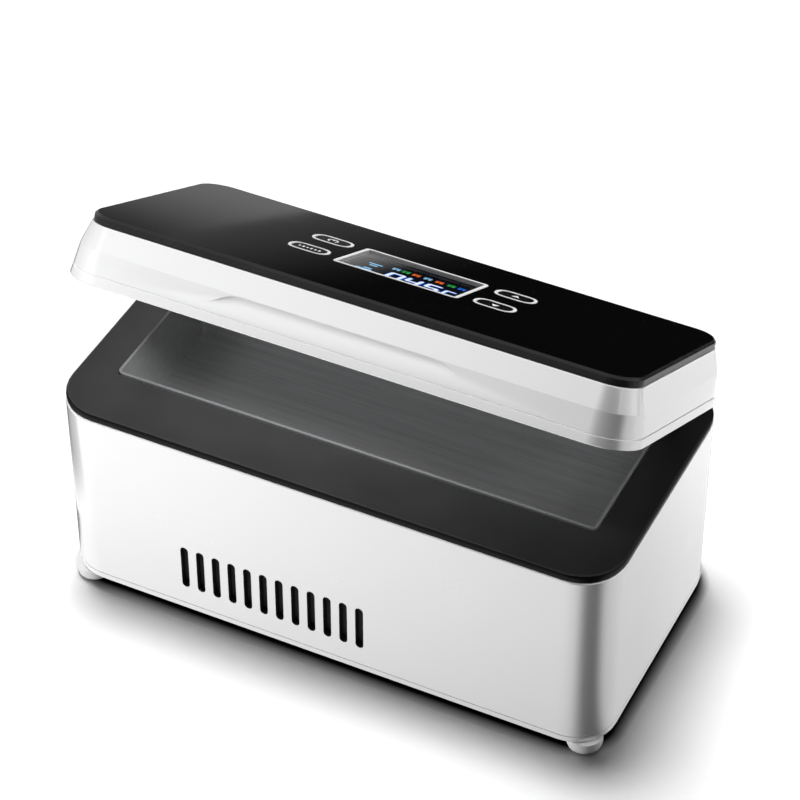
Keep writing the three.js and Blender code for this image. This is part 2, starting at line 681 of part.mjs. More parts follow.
function foot({ name, x, y }) {
  const top = FOOT_HEIGHT - SEAT_GAP;
  const round = Array.from({ length: EDGE_STEPS + 1 }, (_, step) => {
    const angle = (step / EDGE_STEPS) * QUARTER_TURN;
    return [FOOT_RADIUS - FOOT_EDGE * (1 - Math.sin(angle)), FOOT_EDGE * (1 - Math.cos(angle))];
  });
  const bore = SCREW_SHANK + SEAT_GAP;
  const hollow = SCREW_HEAD + SEAT_GAP;
  const mesh = meshOf(
    `foot_${name}`,
    turned([
      [bore, FOOT_HEAD_DEPTH],
      [hollow, FOOT_HEAD_DEPTH],
      [hollow, 0],
      ...round,
      [FOOT_RADIUS, top],
      [bore, top],
      [bore, FOOT_HEAD_DEPTH],
    ]),
    FINISH.rubber,
  );
  mesh.position.set(x * FOOT_X, y * FOOT_Y, 0);
  return mesh;
}

function coverScrew({ name, x, y }) {
  const seat = FOOT_HEAD_DEPTH - SEAT_GAP;
  const underside = seat - SCREW_HEAD_HEIGHT;
  const body = joined(
    rod(SCREW_HEAD, [underside, seat]),
    rod(SCREW_SHANK, [underside + SCREW_SLOT_DEPTH, SHELL_BOTTOM + SCREW_REACH]),
  );
  const slots = [0, QUARTER_TURN].map((turn) =>
    solidOf(
      new THREE.BoxGeometry(SCREW_HEAD, SCREW_SLOT_WIDTH, 2 * SCREW_SLOT_DEPTH)
        .rotateZ(turn)
        .translate(0, 0, underside),
    ),
  );
  const mesh = meshOf(`cover_screw_${name}`, without(body, ...slots), FINISH.steel);
  mesh.position.set(x * FOOT_X, y * FOOT_Y, 0);
  return mesh;
}

// Deck and chamber

function deckPlate() {
  const plate = loft([
    ...roundedBottom(DECK_OUTLINE, DECK_UNDERSIDE, DECK_EDGE / 2),
    ...roundedTop(DECK_OUTLINE, DECK_TOP, DECK_EDGE),
  ]);
  const skirtOutline = inset(CAVITY_OUTLINE, SEAT_GAP);
  const skirt = tray(skirtOutline, [DECK_UNDERSIDE - SKIRT_HEIGHT, DECK_TOP - DECK_EDGE]).subtract(
    tray(inset(skirtOutline, SKIRT_WALL), [DECK_UNDERSIDE - SKIRT_HEIGHT - OVERRUN, DECK_UNDERSIDE]),
  );
  const opening = tray(LINER_HOLE, [DECK_UNDERSIDE - SKIRT_HEIGHT - OVERRUN, DECK_TOP + OVERRUN]);
  const cupSpan = [BASE_MAGNET_TOP - MAGNET_HEIGHT, DECK_UNDERSIDE + DECK_THICKNESS / 2];
  const cups = SIDES.map(({ sign }) =>
    rod(MAGNET_RADIUS + SEAT_GAP + MAGNET_CUP_WALL, cupSpan, sign * MAGNET_X, MAGNET_Y).intersect(
      tray(skirtOutline, cupSpan),
    ),
  );
  const cupBores = SIDES.map(({ sign }) =>
    rod(MAGNET_RADIUS + SEAT_GAP, [cupSpan[0] - OVERRUN, DECK_UNDERSIDE], sign * MAGNET_X, MAGNET_Y),
  );
  const necks = SIDES.map(({ sign }) =>
    slab(
      about(sign * HINGE_X, BARREL_WIDTH + 2 * SEAT_GAP),
      [LEAF_FRONT - SEAT_GAP, LEAF_BACK + SEAT_GAP],
      [DECK_UNDERSIDE - OVERRUN, DECK_TOP + OVERRUN],
    ),
  );
  const leafRooms = SIDES.map(({ sign }) =>
    slab(
      about(sign * HINGE_X, LEAF_WIDTH + 2 * SEAT_GAP),
      [LEAF_FRONT - SEAT_GAP, LEAF_BACK + SEAT_GAP],
      [DECK_UNDERSIDE - SKIRT_HEIGHT - OVERRUN, DECK_UNDERSIDE],
    ),
  );
  return meshOf(
    "deck_plate",
    without(joined(plate, skirt, ...cups), opening, ...cupBores, ...necks, ...leafRooms),
    FINISH.blackPlastic,
  );
}

function chamberLiner() {
  const tub = tray(LINER_OUTLINE, [LINER_UNDERSIDE, DECK_TOP + LINER_RIM]);
  const flange = tray(inset(LINER_OUTLINE, -LINER_FLANGE), [FLANGE_TOP - LINER_WALL, FLANGE_TOP]);
  const hollow = tray(CHAMBER_OUTLINE, [LINER_UNDERSIDE + LINER_WALL, DECK_TOP + LINER_RIM + OVERRUN]);
  return meshOf("chamber_liner", joined(tub, flange).subtract(hollow), FINISH.aluminium);
}

const SENSOR_X = LINER_OUTLINE.length / 2 + SEAT_GAP + SENSOR_RADIUS;
const SENSOR_Z = DECK_TOP - SENSOR_DEPTH;

function insulationJacket() {
  const outline = {
    length: LINER_HOLE.length + 2 * FOAM_END,
    depth: LINER_HOLE.depth + 2 * FOAM_SIDE,
    corner: FOAM_CORNER,
  };
  const cavity = tray(LINER_HOLE, [FOAM_CAVITY_FLOOR, FOAM_TOP + OVERRUN]);
  const blockRoom = COLD_BLOCK_SIDE + 2 * SEAT_GAP;
  const window = tray(
    { length: blockRoom, depth: blockRoom, corner: COLD_BLOCK_CORNER },
    [FOAM_BOTTOM - OVERRUN, FOAM_CAVITY_FLOOR + OVERRUN],
  ).translate([STAGE_X, 0, 0]);
  const sensorPocket = slab(
    [LINER_OUTLINE.length / 2, SENSOR_X + SENSOR_RADIUS + SEAT_GAP],
    about(0, SENSOR_LENGTH + 2 * SEAT_GAP),
    [SENSOR_Z - SENSOR_RADIUS - SEAT_GAP, FOAM_TOP + OVERRUN],
  );
  return meshOf(
    "insulation_jacket",
    without(tray(outline, [FOAM_BOTTOM, FOAM_TOP]), cavity, window, sensorPocket),
    FINISH.foam,
  );
}

function temperatureSensor() {
  const capsule = rodAlongY(SENSOR_RADIUS, about(0, SENSOR_LENGTH), 0, 0);
  const mesh = meshOf("temperature_sensor", capsule, FINISH.steel);
  mesh.position.set(SENSOR_X, 0, SENSOR_Z);
  return mesh;
}

// Cooling stage

function coldBlock() {
  const outline = { length: COLD_BLOCK_SIDE, depth: COLD_BLOCK_SIDE, corner: COLD_BLOCK_CORNER };
  const mesh = meshOf("cold_block", tray(outline, [0, COLD_BLOCK_HEIGHT]), FINISH.aluminium);
  mesh.position.set(STAGE_X, 0, COLD_BLOCK_BOTTOM);
  return mesh;
}

function peltierModule() {
  const side = about(0, PELTIER_SIDE);
  const core = about(0, PELTIER_SIDE - 2 * PELTIER_CORE_INSET);
  const leads = SIDES.map(({ sign }) =>
    rodAlongX(
      LEAD_RADIUS,
      [-PELTIER_SIDE / 2 - LEAD_LENGTH, -PELTIER_SIDE / 2 + 2 * PELTIER_CORE_INSET],
      (sign * LEAD_SPACING) / 2,
      PELTIER_HEIGHT / 2,
      CORNER_STEPS,
    ),
  );
  const solid = joined(
    slab(side, side, [0, PELTIER_PLATE]),
    slab(core, core, [PELTIER_PLATE / 2, PELTIER_HEIGHT - PELTIER_PLATE / 2]),
    slab(side, side, [PELTIER_HEIGHT - PELTIER_PLATE, PELTIER_HEIGHT]),
    ...leads,
  );
  const mesh = meshOf("peltier_module", solid, FINISH.ceramic);
  mesh.position.set(STAGE_X, 0, PELTIER_TOP - PELTIER_HEIGHT);
  return mesh;
}

// The fins hang from the base like a comb, and one gap crosses them all.
function heatSink() {
  const pitch = (SINK_LENGTH - FIN_THICKNESS) / (FIN_COUNT - 1);
  const top = FIN_HEIGHT + SINK_BASE;
  const comb = [new THREE.Vector2(SINK_LENGTH / 2, top), new THREE.Vector2(-SINK_LENGTH / 2, top)];
  for (let fin = 0; fin < FIN_COUNT; fin += 1) {
    const left = fin * pitch - SINK_LENGTH / 2;
    const right = left + FIN_THICKNESS;
    if (fin > 0) comb.push(new THREE.Vector2(left, FIN_HEIGHT));
    comb.push(new THREE.Vector2(left, 0), new THREE.Vector2(right, 0));
    if (fin < FIN_COUNT - 1) comb.push(new THREE.Vector2(right, FIN_HEIGHT));
  }
  const gap = slab(about(0, SINK_LENGTH + 2 * OVERRUN), about(0, FIN_BREAK), [
    -OVERRUN,
    FIN_HEIGHT - FIN_BREAK_REST,
  ]);
  const body = solidOf(prismAlongY(comb, about(0, SINK_DEPTH)));
  const mesh = meshOf("heat_sink", body.subtract(gap), FINISH.blackAluminium);
  mesh.position.set(STAGE_X, 0, SINK_BOTTOM);
  return mesh;
}

function fanFrame() {
  const outline = { length: FAN_SIDE, depth: FAN_SIDE, corner: FAN_CORNER };
  const past = [-OVERRUN, FAN_HEIGHT + OVERRUN];
  const bolts = CORNERS.map(({ x, y }) =>
    rod(FAN_BOLT_RADIUS, past, (x * FAN_BOLT_SPACING) / 2, (y * FAN_BOLT_SPACING) / 2),
  );
  const struts = Array.from({ length: FAN_STRUT_COUNT }, (_, i) =>
    solidOf(
      new THREE.BoxGeometry(FAN_BORE, FAN_STRUT_WIDTH, FAN_PLATE)
        .translate(FAN_BORE / 2 + FAN_TUBE, 0, FAN_PLATE / 2)
        .rotateZ((i + 1 / 2) * QUARTER_TURN),
    ),
  );
  const ring = without(tray(outline, [0, FAN_HEIGHT]), rod(FAN_BORE, past, 0, 0, BORE_STEPS), ...bolts);
  const motorPlate = rod(HUB_RADIUS, [0, FAN_PLATE], 0, 0, BORE_STEPS);
  const tube = rod(FAN_TUBE, [0, FAN_TUBE_HEIGHT]);
  const bore = rod(SHAFT_RADIUS + PIN_FIT, [FAN_PLATE, FAN_TUBE_HEIGHT + OVERRUN]);
  return meshOf("fan_frame", joined(ring, motorPlate, tube, ...struts).subtract(bore), FINISH.blackPlastic);
}

// One blade: level strips between the hub and the tip, each turned to its own pitch.
function fanBlade(midHeight) {
  const root = HUB_RADIUS - BLADE_ROOT_SINK;
  const tip = FAN_BORE - BLADE_TIP_GAP;
  const positions = [];
  for (let step = 0; step <= BLADE_STEPS; step += 1) {
    const share = step / BLADE_STEPS;
    const radius = THREE.MathUtils.lerp(root, tip, share);
    const twist = THREE.MathUtils.lerp(BLADE_ROOT_TWIST, BLADE_TIP_TWIST, share);
    const along = new THREE.Vector2(Math.cos(twist), Math.sin(twist)).multiplyScalar(BLADE_CHORD / 2);
    const across = new THREE.Vector2(-Math.sin(twist), Math.cos(twist)).multiplyScalar(BLADE_THICKNESS / 2);
    const section = [
      [-1, -1],
      [1, -1],
      [1, 1],
      [-1, 1],
    ];
    section.forEach(([end, face]) => {
      positions.push(radius, end * along.x + face * across.x, midHeight + end * along.y + face * across.y);
    });
  }
  const index = [0, 2, 1, 0, 3, 2];
  const last = BLADE_STEPS * 4;
  index.push(last, last + 1, last + 2, last, last + 2, last + 3);
  for (let step = 0; step < BLADE_STEPS; step += 1) {
    for (let side = 0; side < 4; side += 1) {
      const near = step * 4 + side;
      const nearNext = step * 4 + ((side + 1) % 4);
      index.push(near, nearNext, nearNext + 4, near, nearNext + 4, near + 4);
    }
  }
  const geometry = new THREE.BufferGeometry();
  geometry.setAttribute("position", new THREE.Float32BufferAttribute(positions, 3));
  geometry.setIndex(index);
  return geometry;
}

function fanRotor() {
  const low = FAN_PLATE + HUB_LIFT;
  const high = FAN_HEIGHT - HUB_DROP;
  const ceiling = high - HUB_WALL;
  const inner = HUB_RADIUS - HUB_WALL;
  const hub = turned(
    [
      [0, low],
      [SHAFT_RADIUS, low],
      [SHAFT_RADIUS, ceiling],
      [inner, ceiling],
      [inner, low],
      [HUB_RADIUS, low],
      [HUB_RADIUS, high],
      [0, high],
    ],
    BORE_STEPS,
  );
  const blades = Array.from({ length: BLADE_COUNT }, (_, i) =>
    solidOf(fanBlade((low + high) / 2).rotateZ((i * 2 * Math.PI) / BLADE_COUNT)),
  );
  return meshOf("fan_rotor", joined(hub, ...blades), FINISH.blackPlastic);
}

function fan() {
  const group = new THREE.Group();
  group.name = "fan";
  group.add(fanFrame(), fanRotor());
  group.position.set(STAGE_X, 0, FAN_BOTTOM);
  return group;
}

// Power and control

function batteryPack() {
  const cells = Array.from({ length: CELL_COUNT }, (_, i) =>
    rodAlongX(CELL_RADIUS, about(0, PACK_LENGTH), (i - (CELL_COUNT - 1) / 2) * CELL_PITCH, CELL_RADIUS),
  );
  const sleeve = inset(
    { length: CELL_COUNT * CELL_PITCH, depth: 2 * CELL_RADIUS, corner: CELL_RADIUS },
    -PACK_STRAP_WALL,
  );
  const profile = outlinePoints(sleeve).map((p) => new THREE.Vector2(p.x, p.y + CELL_RADIUS));
  const strap = solidOf(prismAlongX(profile, about(0, PACK_STRAP)));
  const mesh = meshOf("battery_pack", joined(strap, ...cells), FINISH.sleeve);
  mesh.position.set(PACK_X, 0, PACK_BOTTOM);
  return mesh;
}

function mainBoard() {
  const sheet = slab(about(0, BOARD_LENGTH), about(0, BOARD_DEPTH), [0, BOARD_THICKNESS]);
  const face = BOARD_THICKNESS / 2;
  const capacitors = [-1, 0, 1].map((place) =>
    rod(
      CAPACITOR_RADIUS,
      [face, BOARD_THICKNESS + CAPACITOR_HEIGHT],
      place * CAPACITOR_PITCH,
      BOARD_Y + CAPACITOR_PITCH / 2,
    ),
  );
  const coil = tray({ length: COIL_SIDE, depth: COIL_SIDE, corner: COIL_CORNER }, [
    face,
    BOARD_THICKNESS + COIL_HEIGHT,
  ]).translate([0, -COIL_SHIFT / 2, 0]);
  const header = slab(about(0, PLUG_HEADER_LENGTH), about(-COIL_SHIFT - COIL_SIDE / 2, PLUG_HEADER_DEPTH), [
    face,
    BOARD_THICKNESS + PLUG_HEADER_HEIGHT,
  ]);
  const mesh = meshOf("main_board", joined(sheet, ...capacitors, coil, header), FINISH.board);
  mesh.position.set(BOARD_X, BOARD_Y, BOARD_BOTTOM);
  return mesh;
}

function powerInlet() {
  const noseEnd = FRONT_WALL + WALL - JACK_NOSE_SHORTFALL - JACK_BACK;
  const body = slab(about(0, JACK_WIDTH), [-JACK_DEPTH, 0], about(0, JACK_HEIGHT));
  const nose = rodAlongY(JACK_NOSE, [-JACK_DEPTH / 2, noseEnd], 0, 0);
  const boreEnd = noseEnd - JACK_BORE_DEPTH;
  const bore = rodAlongY(JACK_BORE, [boreEnd, noseEnd + OVERRUN], 0, 0);
  const pin = rodAlongY(JACK_PIN, [boreEnd - JACK_NOSE_SHORTFALL, noseEnd - JACK_PIN], 0, 0);
  const mesh = meshOf("power_inlet", joined(joined(body, nose).subtract(bore), pin), FINISH.blackPlastic);
  mesh.position.set(BOARD_X, JACK_BACK, JACK_Z);
  return mesh;
}

// Hinges and catch

function hingeBracket({ name, sign }) {
  const centre = HINGE_Z - STUD_Z;
  const barrel = rodAlongX(BARREL_RADIUS, about(0, BARREL_WIDTH), HINGE_Y, centre);
  const bore = rodAlongX(PIN_RADIUS + PIN_FIT, about(0, BARREL_WIDTH + 2 * OVERRUN), HINGE_Y, centre);
  const neck = slab(about(0, BARREL_WIDTH), [LEAF_FRONT, LEAF_BACK], [0, centre]);
  const leafTop = LEAF_TOP - STUD_Z;
  const outline = { length: LEAF_WIDTH, depth: LEAF_HEIGHT, corner: LEAF_CORNER };
  const leaf = solidOf(
    prismAlongY(outlinePoints(outline), [LEAF_FRONT, LEAF_BACK]).translate(
      0,
      0,
      leafTop - LEAF_HEIGHT / 2,
    ),
  );
  const pastLeaf = [LEAF_FRONT - OVERRUN, LEAF_BACK + OVERRUN];
  const studHoles = SIDES.map(({ sign: stud }) =>
    rodAlongY(STUD_RADIUS + SEAT_GAP, pastLeaf, (stud * STUD_SPACING) / 2, 0),
  );
  const mesh = meshOf(
    `hinge_bracket_${name}`,
    without(joined(barrel, neck, leaf), bore, ...studHoles),
    FINISH.blackPlastic,
  );
  mesh.position.set(sign * HINGE_X, 0, STUD_Z);
  return mesh;
}

function hingePin({ name, sign }) {
  const length = BARREL_WIDTH + 2 * SEAT_GAP + 2 * KNUCKLE_WIDTH;
  const mesh = meshOf(`hinge_pin_${name}`, rodAlongX(PIN_RADIUS, about(0, length), 0, 0), FINISH.steel);
  mesh.position.set(sign * HINGE_X, HINGE_Y, HINGE_Z);
  return mesh;
}

function magnet(name, z, { sign }) {
  const mesh = meshOf(name, rod(MAGNET_RADIUS, [0, MAGNET_HEIGHT]), FINISH.steel);
  mesh.position.set(sign * MAGNET_X, MAGNET_Y, z);
  return mesh;
}

// Lid mouldings, drawn with the lid closed and its lower edge at height zero

function lidTaper(z) {
  return (LID_SIDE_INSET * z) / LID_SIDE_HEIGHT;
}

function lidSideAt(z) {
  return SHELL_OUTLINE.depth / 2 - lidTaper(z);
}

function fingerScoop() {
  const reach = SHELL_OUTLINE.depth / 2 + OVERRUN;
  const foot = new THREE.Vector2(-lidSideAt(SCOOP_FOOT_RISE), SCOOP_FOOT_RISE);
  const top = new THREE.Vector2(SCOOP_DEPTH - lidSideAt(LID_SIDE_HEIGHT), LID_SIDE_HEIGHT);
  const slope = (top.y - foot.y) / (top.x - foot.x);
  const wedge = [
    top,
    new THREE.Vector2(-reach, LID_SIDE_HEIGHT),
    new THREE.Vector2(-reach, foot.y - slope * (reach + foot.x)),
    foot,
  ];
  const rise = LID_SIDE_HEIGHT - SCOOP_FOOT_RISE;
  const below = OVERRUN / rise;
  const halfTop = SCOOP_TOP_WIDTH / 2;
  const face = new THREE.Shape();
  face.moveTo(-halfTop - SCOOP_FLARE * (1 + below), SCOOP_FOOT_RISE - OVERRUN);
  face.lineTo(halfTop + SCOOP_FLARE * (1 + below), SCOOP_FOOT_RISE - OVERRUN);
  face.lineTo(halfTop + SCOOP_CORNER / 2, LID_SIDE_HEIGHT - (SCOOP_CORNER / 2) * (rise / SCOOP_FLARE));
  face.quadraticCurveTo(halfTop, LID_SIDE_HEIGHT, halfTop - SCOOP_CORNER, LID_SIDE_HEIGHT);
  face.lineTo(SCOOP_CORNER - halfTop, LID_SIDE_HEIGHT);
  face.quadraticCurveTo(
    -halfTop,
    LID_SIDE_HEIGHT,
    -halfTop - SCOOP_CORNER / 2,
    LID_SIDE_HEIGHT - (SCOOP_CORNER / 2) * (rise / SCOOP_FLARE),
  );
  const mouth = prismAlongY(face.getPoints(CORNER_STEPS), [-reach, 0]);
  const ramp = prismAlongX(wedge, about(0, SCOOP_FOOT_WIDTH + 2 * OVERRUN + 2 * SCOOP_FLARE));
  return solidOf(mouth).intersect(solidOf(ramp)).translate([SCOOP_OFFSET, 0, 0]);
}

// Room for the bracket's barrel and neck while the lid turns about them.
function hingeNotch({ sign }) {
  const span = about(sign * HINGE_X, BARREL_WIDTH + 2 * SEAT_GAP);
  const back = SHELL_OUTLINE.depth / 2 + OVERRUN;
  const room = HINGE_ROUND + SEAT_GAP;
  return joined(
    rodAlongX(room, span, HINGE_Y, LID_AXIS_Z),
    slab(span, [HINGE_Y - room, back], [-OVERRUN, LID_AXIS_Z]),
    slab(span, [HINGE_Y, back], [LID_AXIS_Z - OVERRUN, LID_AXIS_Z + NOTCH_RISE]),
  );
}

function lidShell() {
  const line = about(LID_LINE_RISE, LID_LINE_WIDTH);
  const outer = loft([
    ...roundedBottom(SHELL_OUTLINE, 0, LID_EDGE),
    { ...inset(SHELL_OUTLINE, lidTaper(line[0])), z: line[0] },
    { ...inset(SHELL_OUTLINE, lidTaper(LID_LINE_RISE) + LID_LINE_DEPTH), z: LID_LINE_RISE },
    { ...inset(SHELL_OUTLINE, lidTaper(line[1])), z: line[1] },
    { ...LID_BREAK_OUTLINE, z: LID_SIDE_HEIGHT },
    { ...inset(PANEL_OUTLINE, -LID_LEDGE), z: LID_SHELL_HEIGHT - LID_LEDGE },
    { ...inset(PANEL_OUTLINE, -LID_LEDGE / 2), z: LID_SHELL_HEIGHT },
  ]);
  const hollow = loft([
    { ...inset(SHELL_OUTLINE, WALL), z: -OVERRUN },
    { ...inset(SHELL_OUTLINE, WALL), z: 0 },
    { ...LID_CAVITY_OUTLINE, z: LID_SIDE_HEIGHT },
    { ...inset(PANEL_OUTLINE, WALL), z: ROOF_UNDERSIDE },
  ]);
  const scoopBack = SCOOP_DEPTH - lidSideAt(LID_SIDE_HEIGHT);
  const pad = slab(
    about(SCOOP_OFFSET, SCOOP_FOOT_WIDTH + 2 * SCOOP_PAD_MARGIN),
    [scoopBack - WALL, scoopBack + SCOOP_PAD],
    [LID_PLATE_TOP + SEAT_GAP, LID_SIDE_HEIGHT + SCOOP_PAD],
  ).intersect(outer);
  const knuckles = SIDES.map(({ sign }) =>
    rodAlongX(
      HINGE_ROUND,
      about(sign * HINGE_X, BARREL_WIDTH + 2 * SEAT_GAP + 2 * KNUCKLE_WIDTH),
      HINGE_Y,
      LID_AXIS_Z,
    ),
  );
  const backEdge = slab(
    about(0, CASE_LENGTH),
    [HINGE_Y, SHELL_OUTLINE.depth / 2 + OVERRUN],
    [-OVERRUN, LID_AXIS_Z],
  ).subtract(rodAlongX(HINGE_ROUND, about(0, CASE_LENGTH + 2 * OVERRUN), HINGE_Y, LID_AXIS_Z, BORE_STEPS));
  const pinBores = SIDES.map(({ sign }) =>
    rodAlongX(
      PIN_RADIUS + PIN_FIT,
      about(sign * HINGE_X, BARREL_WIDTH + 4 * SEAT_GAP + 2 * KNUCKLE_WIDTH),
      HINGE_Y,
      LID_AXIS_Z,
    ),
  );
  const posts = CORNERS.map(({ x, y }) =>
    rod(
      CONTROL_POST,
      [ROOF_UNDERSIDE - CONTROL_POST_HEIGHT, ROOF_UNDERSIDE + LID_ROOF / 2],
      x * (CONTROL_BOARD_LENGTH / 2 - CONTROL_POST_INSET),
      CONTROL_BOARD_SHIFT + y * (CONTROL_BOARD_DEPTH / 2 - CONTROL_POST_INSET),
    ),
  );
  const roofSpan = [ROOF_UNDERSIDE - OVERRUN, LID_SHELL_HEIGHT + OVERRUN];
  const displayWindow = tray(DISPLAY_OUTLINE, roofSpan).translate([0, DISPLAY_SHIFT, 0]);
  const stemHoles = KEYS.map(({ x, y }) => rod(KEY_STEM + SEAT_GAP, roofSpan, x, y));
  return meshOf(
    "lid_shell",
    without(
      joined(outer.subtract(hollow), pad, ...knuckles, ...posts),
      backEdge,
      fingerScoop(),
      displayWindow,
      ...SIDES.map(hingeNotch),
      ...pinBores,
      ...stemHoles,
    ),
    FINISH.whitePlastic,
  );
}

function knuckleRoom({ sign }, [low, high]) {
  const width = BARREL_WIDTH + 2 * KNUCKLE_WIDTH + 4 * SEAT_GAP;
  return slab(
    about(sign * HINGE_X, width),
    [HINGE_Y - HINGE_ROUND - 2 * SEAT_GAP, SHELL_OUTLINE.depth / 2],
    [low - OVERRUN, high + OVERRUN],
  );
}

function lidPlate() {
  const outline = inset(SHELL_OUTLINE, WALL + SEAT_GAP + lidTaper(LID_PLATE_TOP));
  const span = [LID_PLATE_RECESS, LID_PLATE_TOP];
  const cupSpan = [LID_PLATE_RECESS, LID_PLATE_TOP + SEAT_GAP + MAGNET_HEIGHT];
  const cups = SIDES.map(({ sign }) =>
    rod(MAGNET_RADIUS + SEAT_GAP + MAGNET_CUP_WALL, cupSpan, sign * MAGNET_X, MAGNET_Y).intersect(
      tray(inset(LID_CAVITY_OUTLINE, SEAT_GAP), cupSpan),
    ),
  );
  const bores = SIDES.map(({ sign }) =>
    rod(MAGNET_RADIUS + SEAT_GAP, [LID_PLATE_TOP, cupSpan[1] + OVERRUN], sign * MAGNET_X, MAGNET_Y),
  );
  const rooms = SIDES.map((side) => knuckleRoom(side, span));
  const solid = without(joined(tray(outline, span), ...cups), ...bores, ...rooms);
  return meshOf("lid_plate", solid, FINISH.whitePlastic);
}

function lidGasket() {
  const inner = inset(LINER_OUTLINE, -GASKET_MARGIN);
  const outer = inset(inner, -GASKET_WIDTH);
  const span = [-GASKET_DROP, LID_PLATE_RECESS - SEAT_GAP];
  return meshOf(
    "lid_gasket",
    tray(outer, span).subtract(tray(inner, [span[0] - OVERRUN, span[1] + OVERRUN])),
    FINISH.gasketRubber,
  );
}

function lidFoam() {
  const outline = { ...inset(LID_CAVITY_OUTLINE, LID_FOAM_MARGIN), corner: LID_FOAM_CORNER };
  const span = [LID_FOAM_BOTTOM, LID_FOAM_TOP];
  const cupRooms = SIDES.map(({ sign }) =>
    rod(
      MAGNET_RADIUS + 2 * SEAT_GAP + MAGNET_CUP_WALL,
      [span[0] - OVERRUN, LID_PLATE_TOP + 2 * SEAT_GAP + MAGNET_HEIGHT],
      sign * MAGNET_X,
      MAGNET_Y,
    ),
  );
  const rooms = SIDES.map((side) => knuckleRoom(side, span));
  return meshOf("lid_insulation", without(tray(outline, span), ...cupRooms, ...rooms), FINISH.foam);
}

function topPanel() {
  const plate = loft([
    { ...PANEL_OUTLINE, z: PANEL_BOTTOM },
    { ...PANEL_OUTLINE, z: PANEL_TOP - PANEL_BEVEL },
    { ...inset(PANEL_OUTLINE, PANEL_BEVEL), z: PANEL_TOP },
  ]);
  const span = [PANEL_BOTTOM - OVERRUN, PANEL_TOP + OVERRUN];
  const window = tray(inset(DISPLAY_OUTLINE, -SEAT_GAP), span).translate([0, DISPLAY_SHIFT, 0]);
  const keyHoles = KEYS.map(({ x, y }) => tray(inset(KEY_OUTLINE, -SEAT_GAP), span).translate([x, y, 0]));
  return meshOf("top_panel", without(plate, window, ...keyHoles), FINISH.blackGloss);
}

function inlay(name, outline, border, x, y) {
  const span = [PANEL_BOTTOM, PANEL_TOP + INLAY_PROUD];
  const hole = inset(outline, border);
  const solid = tray(outline, span).subtract(tray(hole, [span[0] - OVERRUN, span[1] + OVERRUN]));
  const mesh = meshOf(name, solid, FINISH.whiteInlay);
  mesh.position.set(x, y, 0);
  return mesh;
}

function displayWindow() {
  const outline = inset(DISPLAY_OUTLINE, DISPLAY_BORDER + SEAT_GAP / 2);
  const mesh = meshOf("display_window", tray(outline, [WINDOW_BOTTOM, PANEL_TOP]), FINISH.clearLens);
  mesh.position.set(0, DISPLAY_SHIFT, 0);
  return mesh;
}

function lcdModule() {
  const glass = inset(DISPLAY_OUTLINE, LCD_BOARD_MARGIN);
  const carrier = inset(DISPLAY_OUTLINE, SEAT_GAP);
  const low = CONTROL_BOARD_TOP + SEAT_GAP;
  const solid = joined(
    tray(carrier, [low, low + LCD_BOARD_THICKNESS]),
    tray(glass, [low + LCD_BOARD_THICKNESS / 2, WINDOW_BOTTOM - SEAT_GAP]),
  );
  const mesh = meshOf("lcd_module", solid, FINISH.blackGloss);
  mesh.position.set(0, DISPLAY_SHIFT, 0);
  return mesh;
}

function controlBoard() {
  const sheet = slab(about(0, CONTROL_BOARD_LENGTH), about(CONTROL_BOARD_SHIFT, CONTROL_BOARD_DEPTH), [
    CONTROL_BOARD_BOTTOM,
    CONTROL_BOARD_TOP,
  ]);
  const switches = KEYS.map(({ x, y }) =>
    slab(about(x, SWITCH_SIDE), about(y, SWITCH_SIDE), [
      CONTROL_BOARD_TOP - BOARD_THICKNESS / 2,
      CONTROL_BOARD_TOP + SWITCH_HEIGHT,
    ]),
  );
  return meshOf("control_board", joined(sheet, ...switches), FINISH.board);
}

function keyCap({ name, x, y }) {
  const outline = inset(KEY_OUTLINE, KEY_BORDER + KEY_FIT);
  const flangeTop = ROOF_UNDERSIDE - SEAT_GAP;
  const solid = joined(
    tray(outline, [KEY_CAP_BOTTOM, PANEL_TOP]),
    rod(KEY_STEM, [KEY_STEM_BOTTOM, (KEY_CAP_BOTTOM + PANEL_TOP) / 2]),
    rod(KEY_FLANGE, [flangeTop - KEY_FLANGE_THICKNESS, flangeTop]),
  );
  const mesh = meshOf(`key_cap_${name}`, solid, FINISH.blackGloss);
  mesh.position.set(x, y, 0);
  return mesh;
}

// Assembly

function base() {
  const group = new THREE.Group();
  group.name = "base";
  group.add(
    lowerShell(),
    bottomCover(),
    deckPlate(),
    chamberLiner(),
    insulationJacket(),
    temperatureSensor(),
    coldBlock(),
    peltierModule(),
    heatSink(),
    fan(),
    batteryPack(),
    mainBoard(),
    powerInlet(),
    ...CORNERS.flatMap((corner) => [foot(corner), coverScrew(corner)]),
    ...SIDES.flatMap((side) => [
      hingeBracket(side),
      hingePin(side),
      magnet(`base_magnet_${side.name}`, BASE_MAGNET_TOP - MAGNET_HEIGHT, side),
    ]),
  );
  return group;
}

function lid() {
  const closed = new THREE.Group();
  closed.add(
    lidShell(),
    lidPlate(),
    lidGasket(),
    lidFoam(),
    topPanel(),
    displayWindow(),
    lcdModule(),
    controlBoard(),
    inlay("display_frame", DISPLAY_OUTLINE, DISPLAY_BORDER, 0, DISPLAY_SHIFT),
    ...KEYS.flatMap((key) => [
      inlay(`key_ring_${key.name}`, KEY_OUTLINE, KEY_BORDER, key.x, key.y),
      keyCap(key),
    ]),
    ...SIDES.map((side) => magnet(`lid_magnet_${side.name}`, LID_PLATE_TOP + SEAT_GAP, side)),
  );
  closed.position.set(0, -HINGE_Y, -LID_AXIS_Z);
  const pivot = new THREE.Group();
  pivot.name = "lid_pivot";
  pivot.add(closed);
  pivot.position.set(0, HINGE_Y, HINGE_Z);
  pivot.rotation.x = -LID_OPENING;
  return pivot;
}

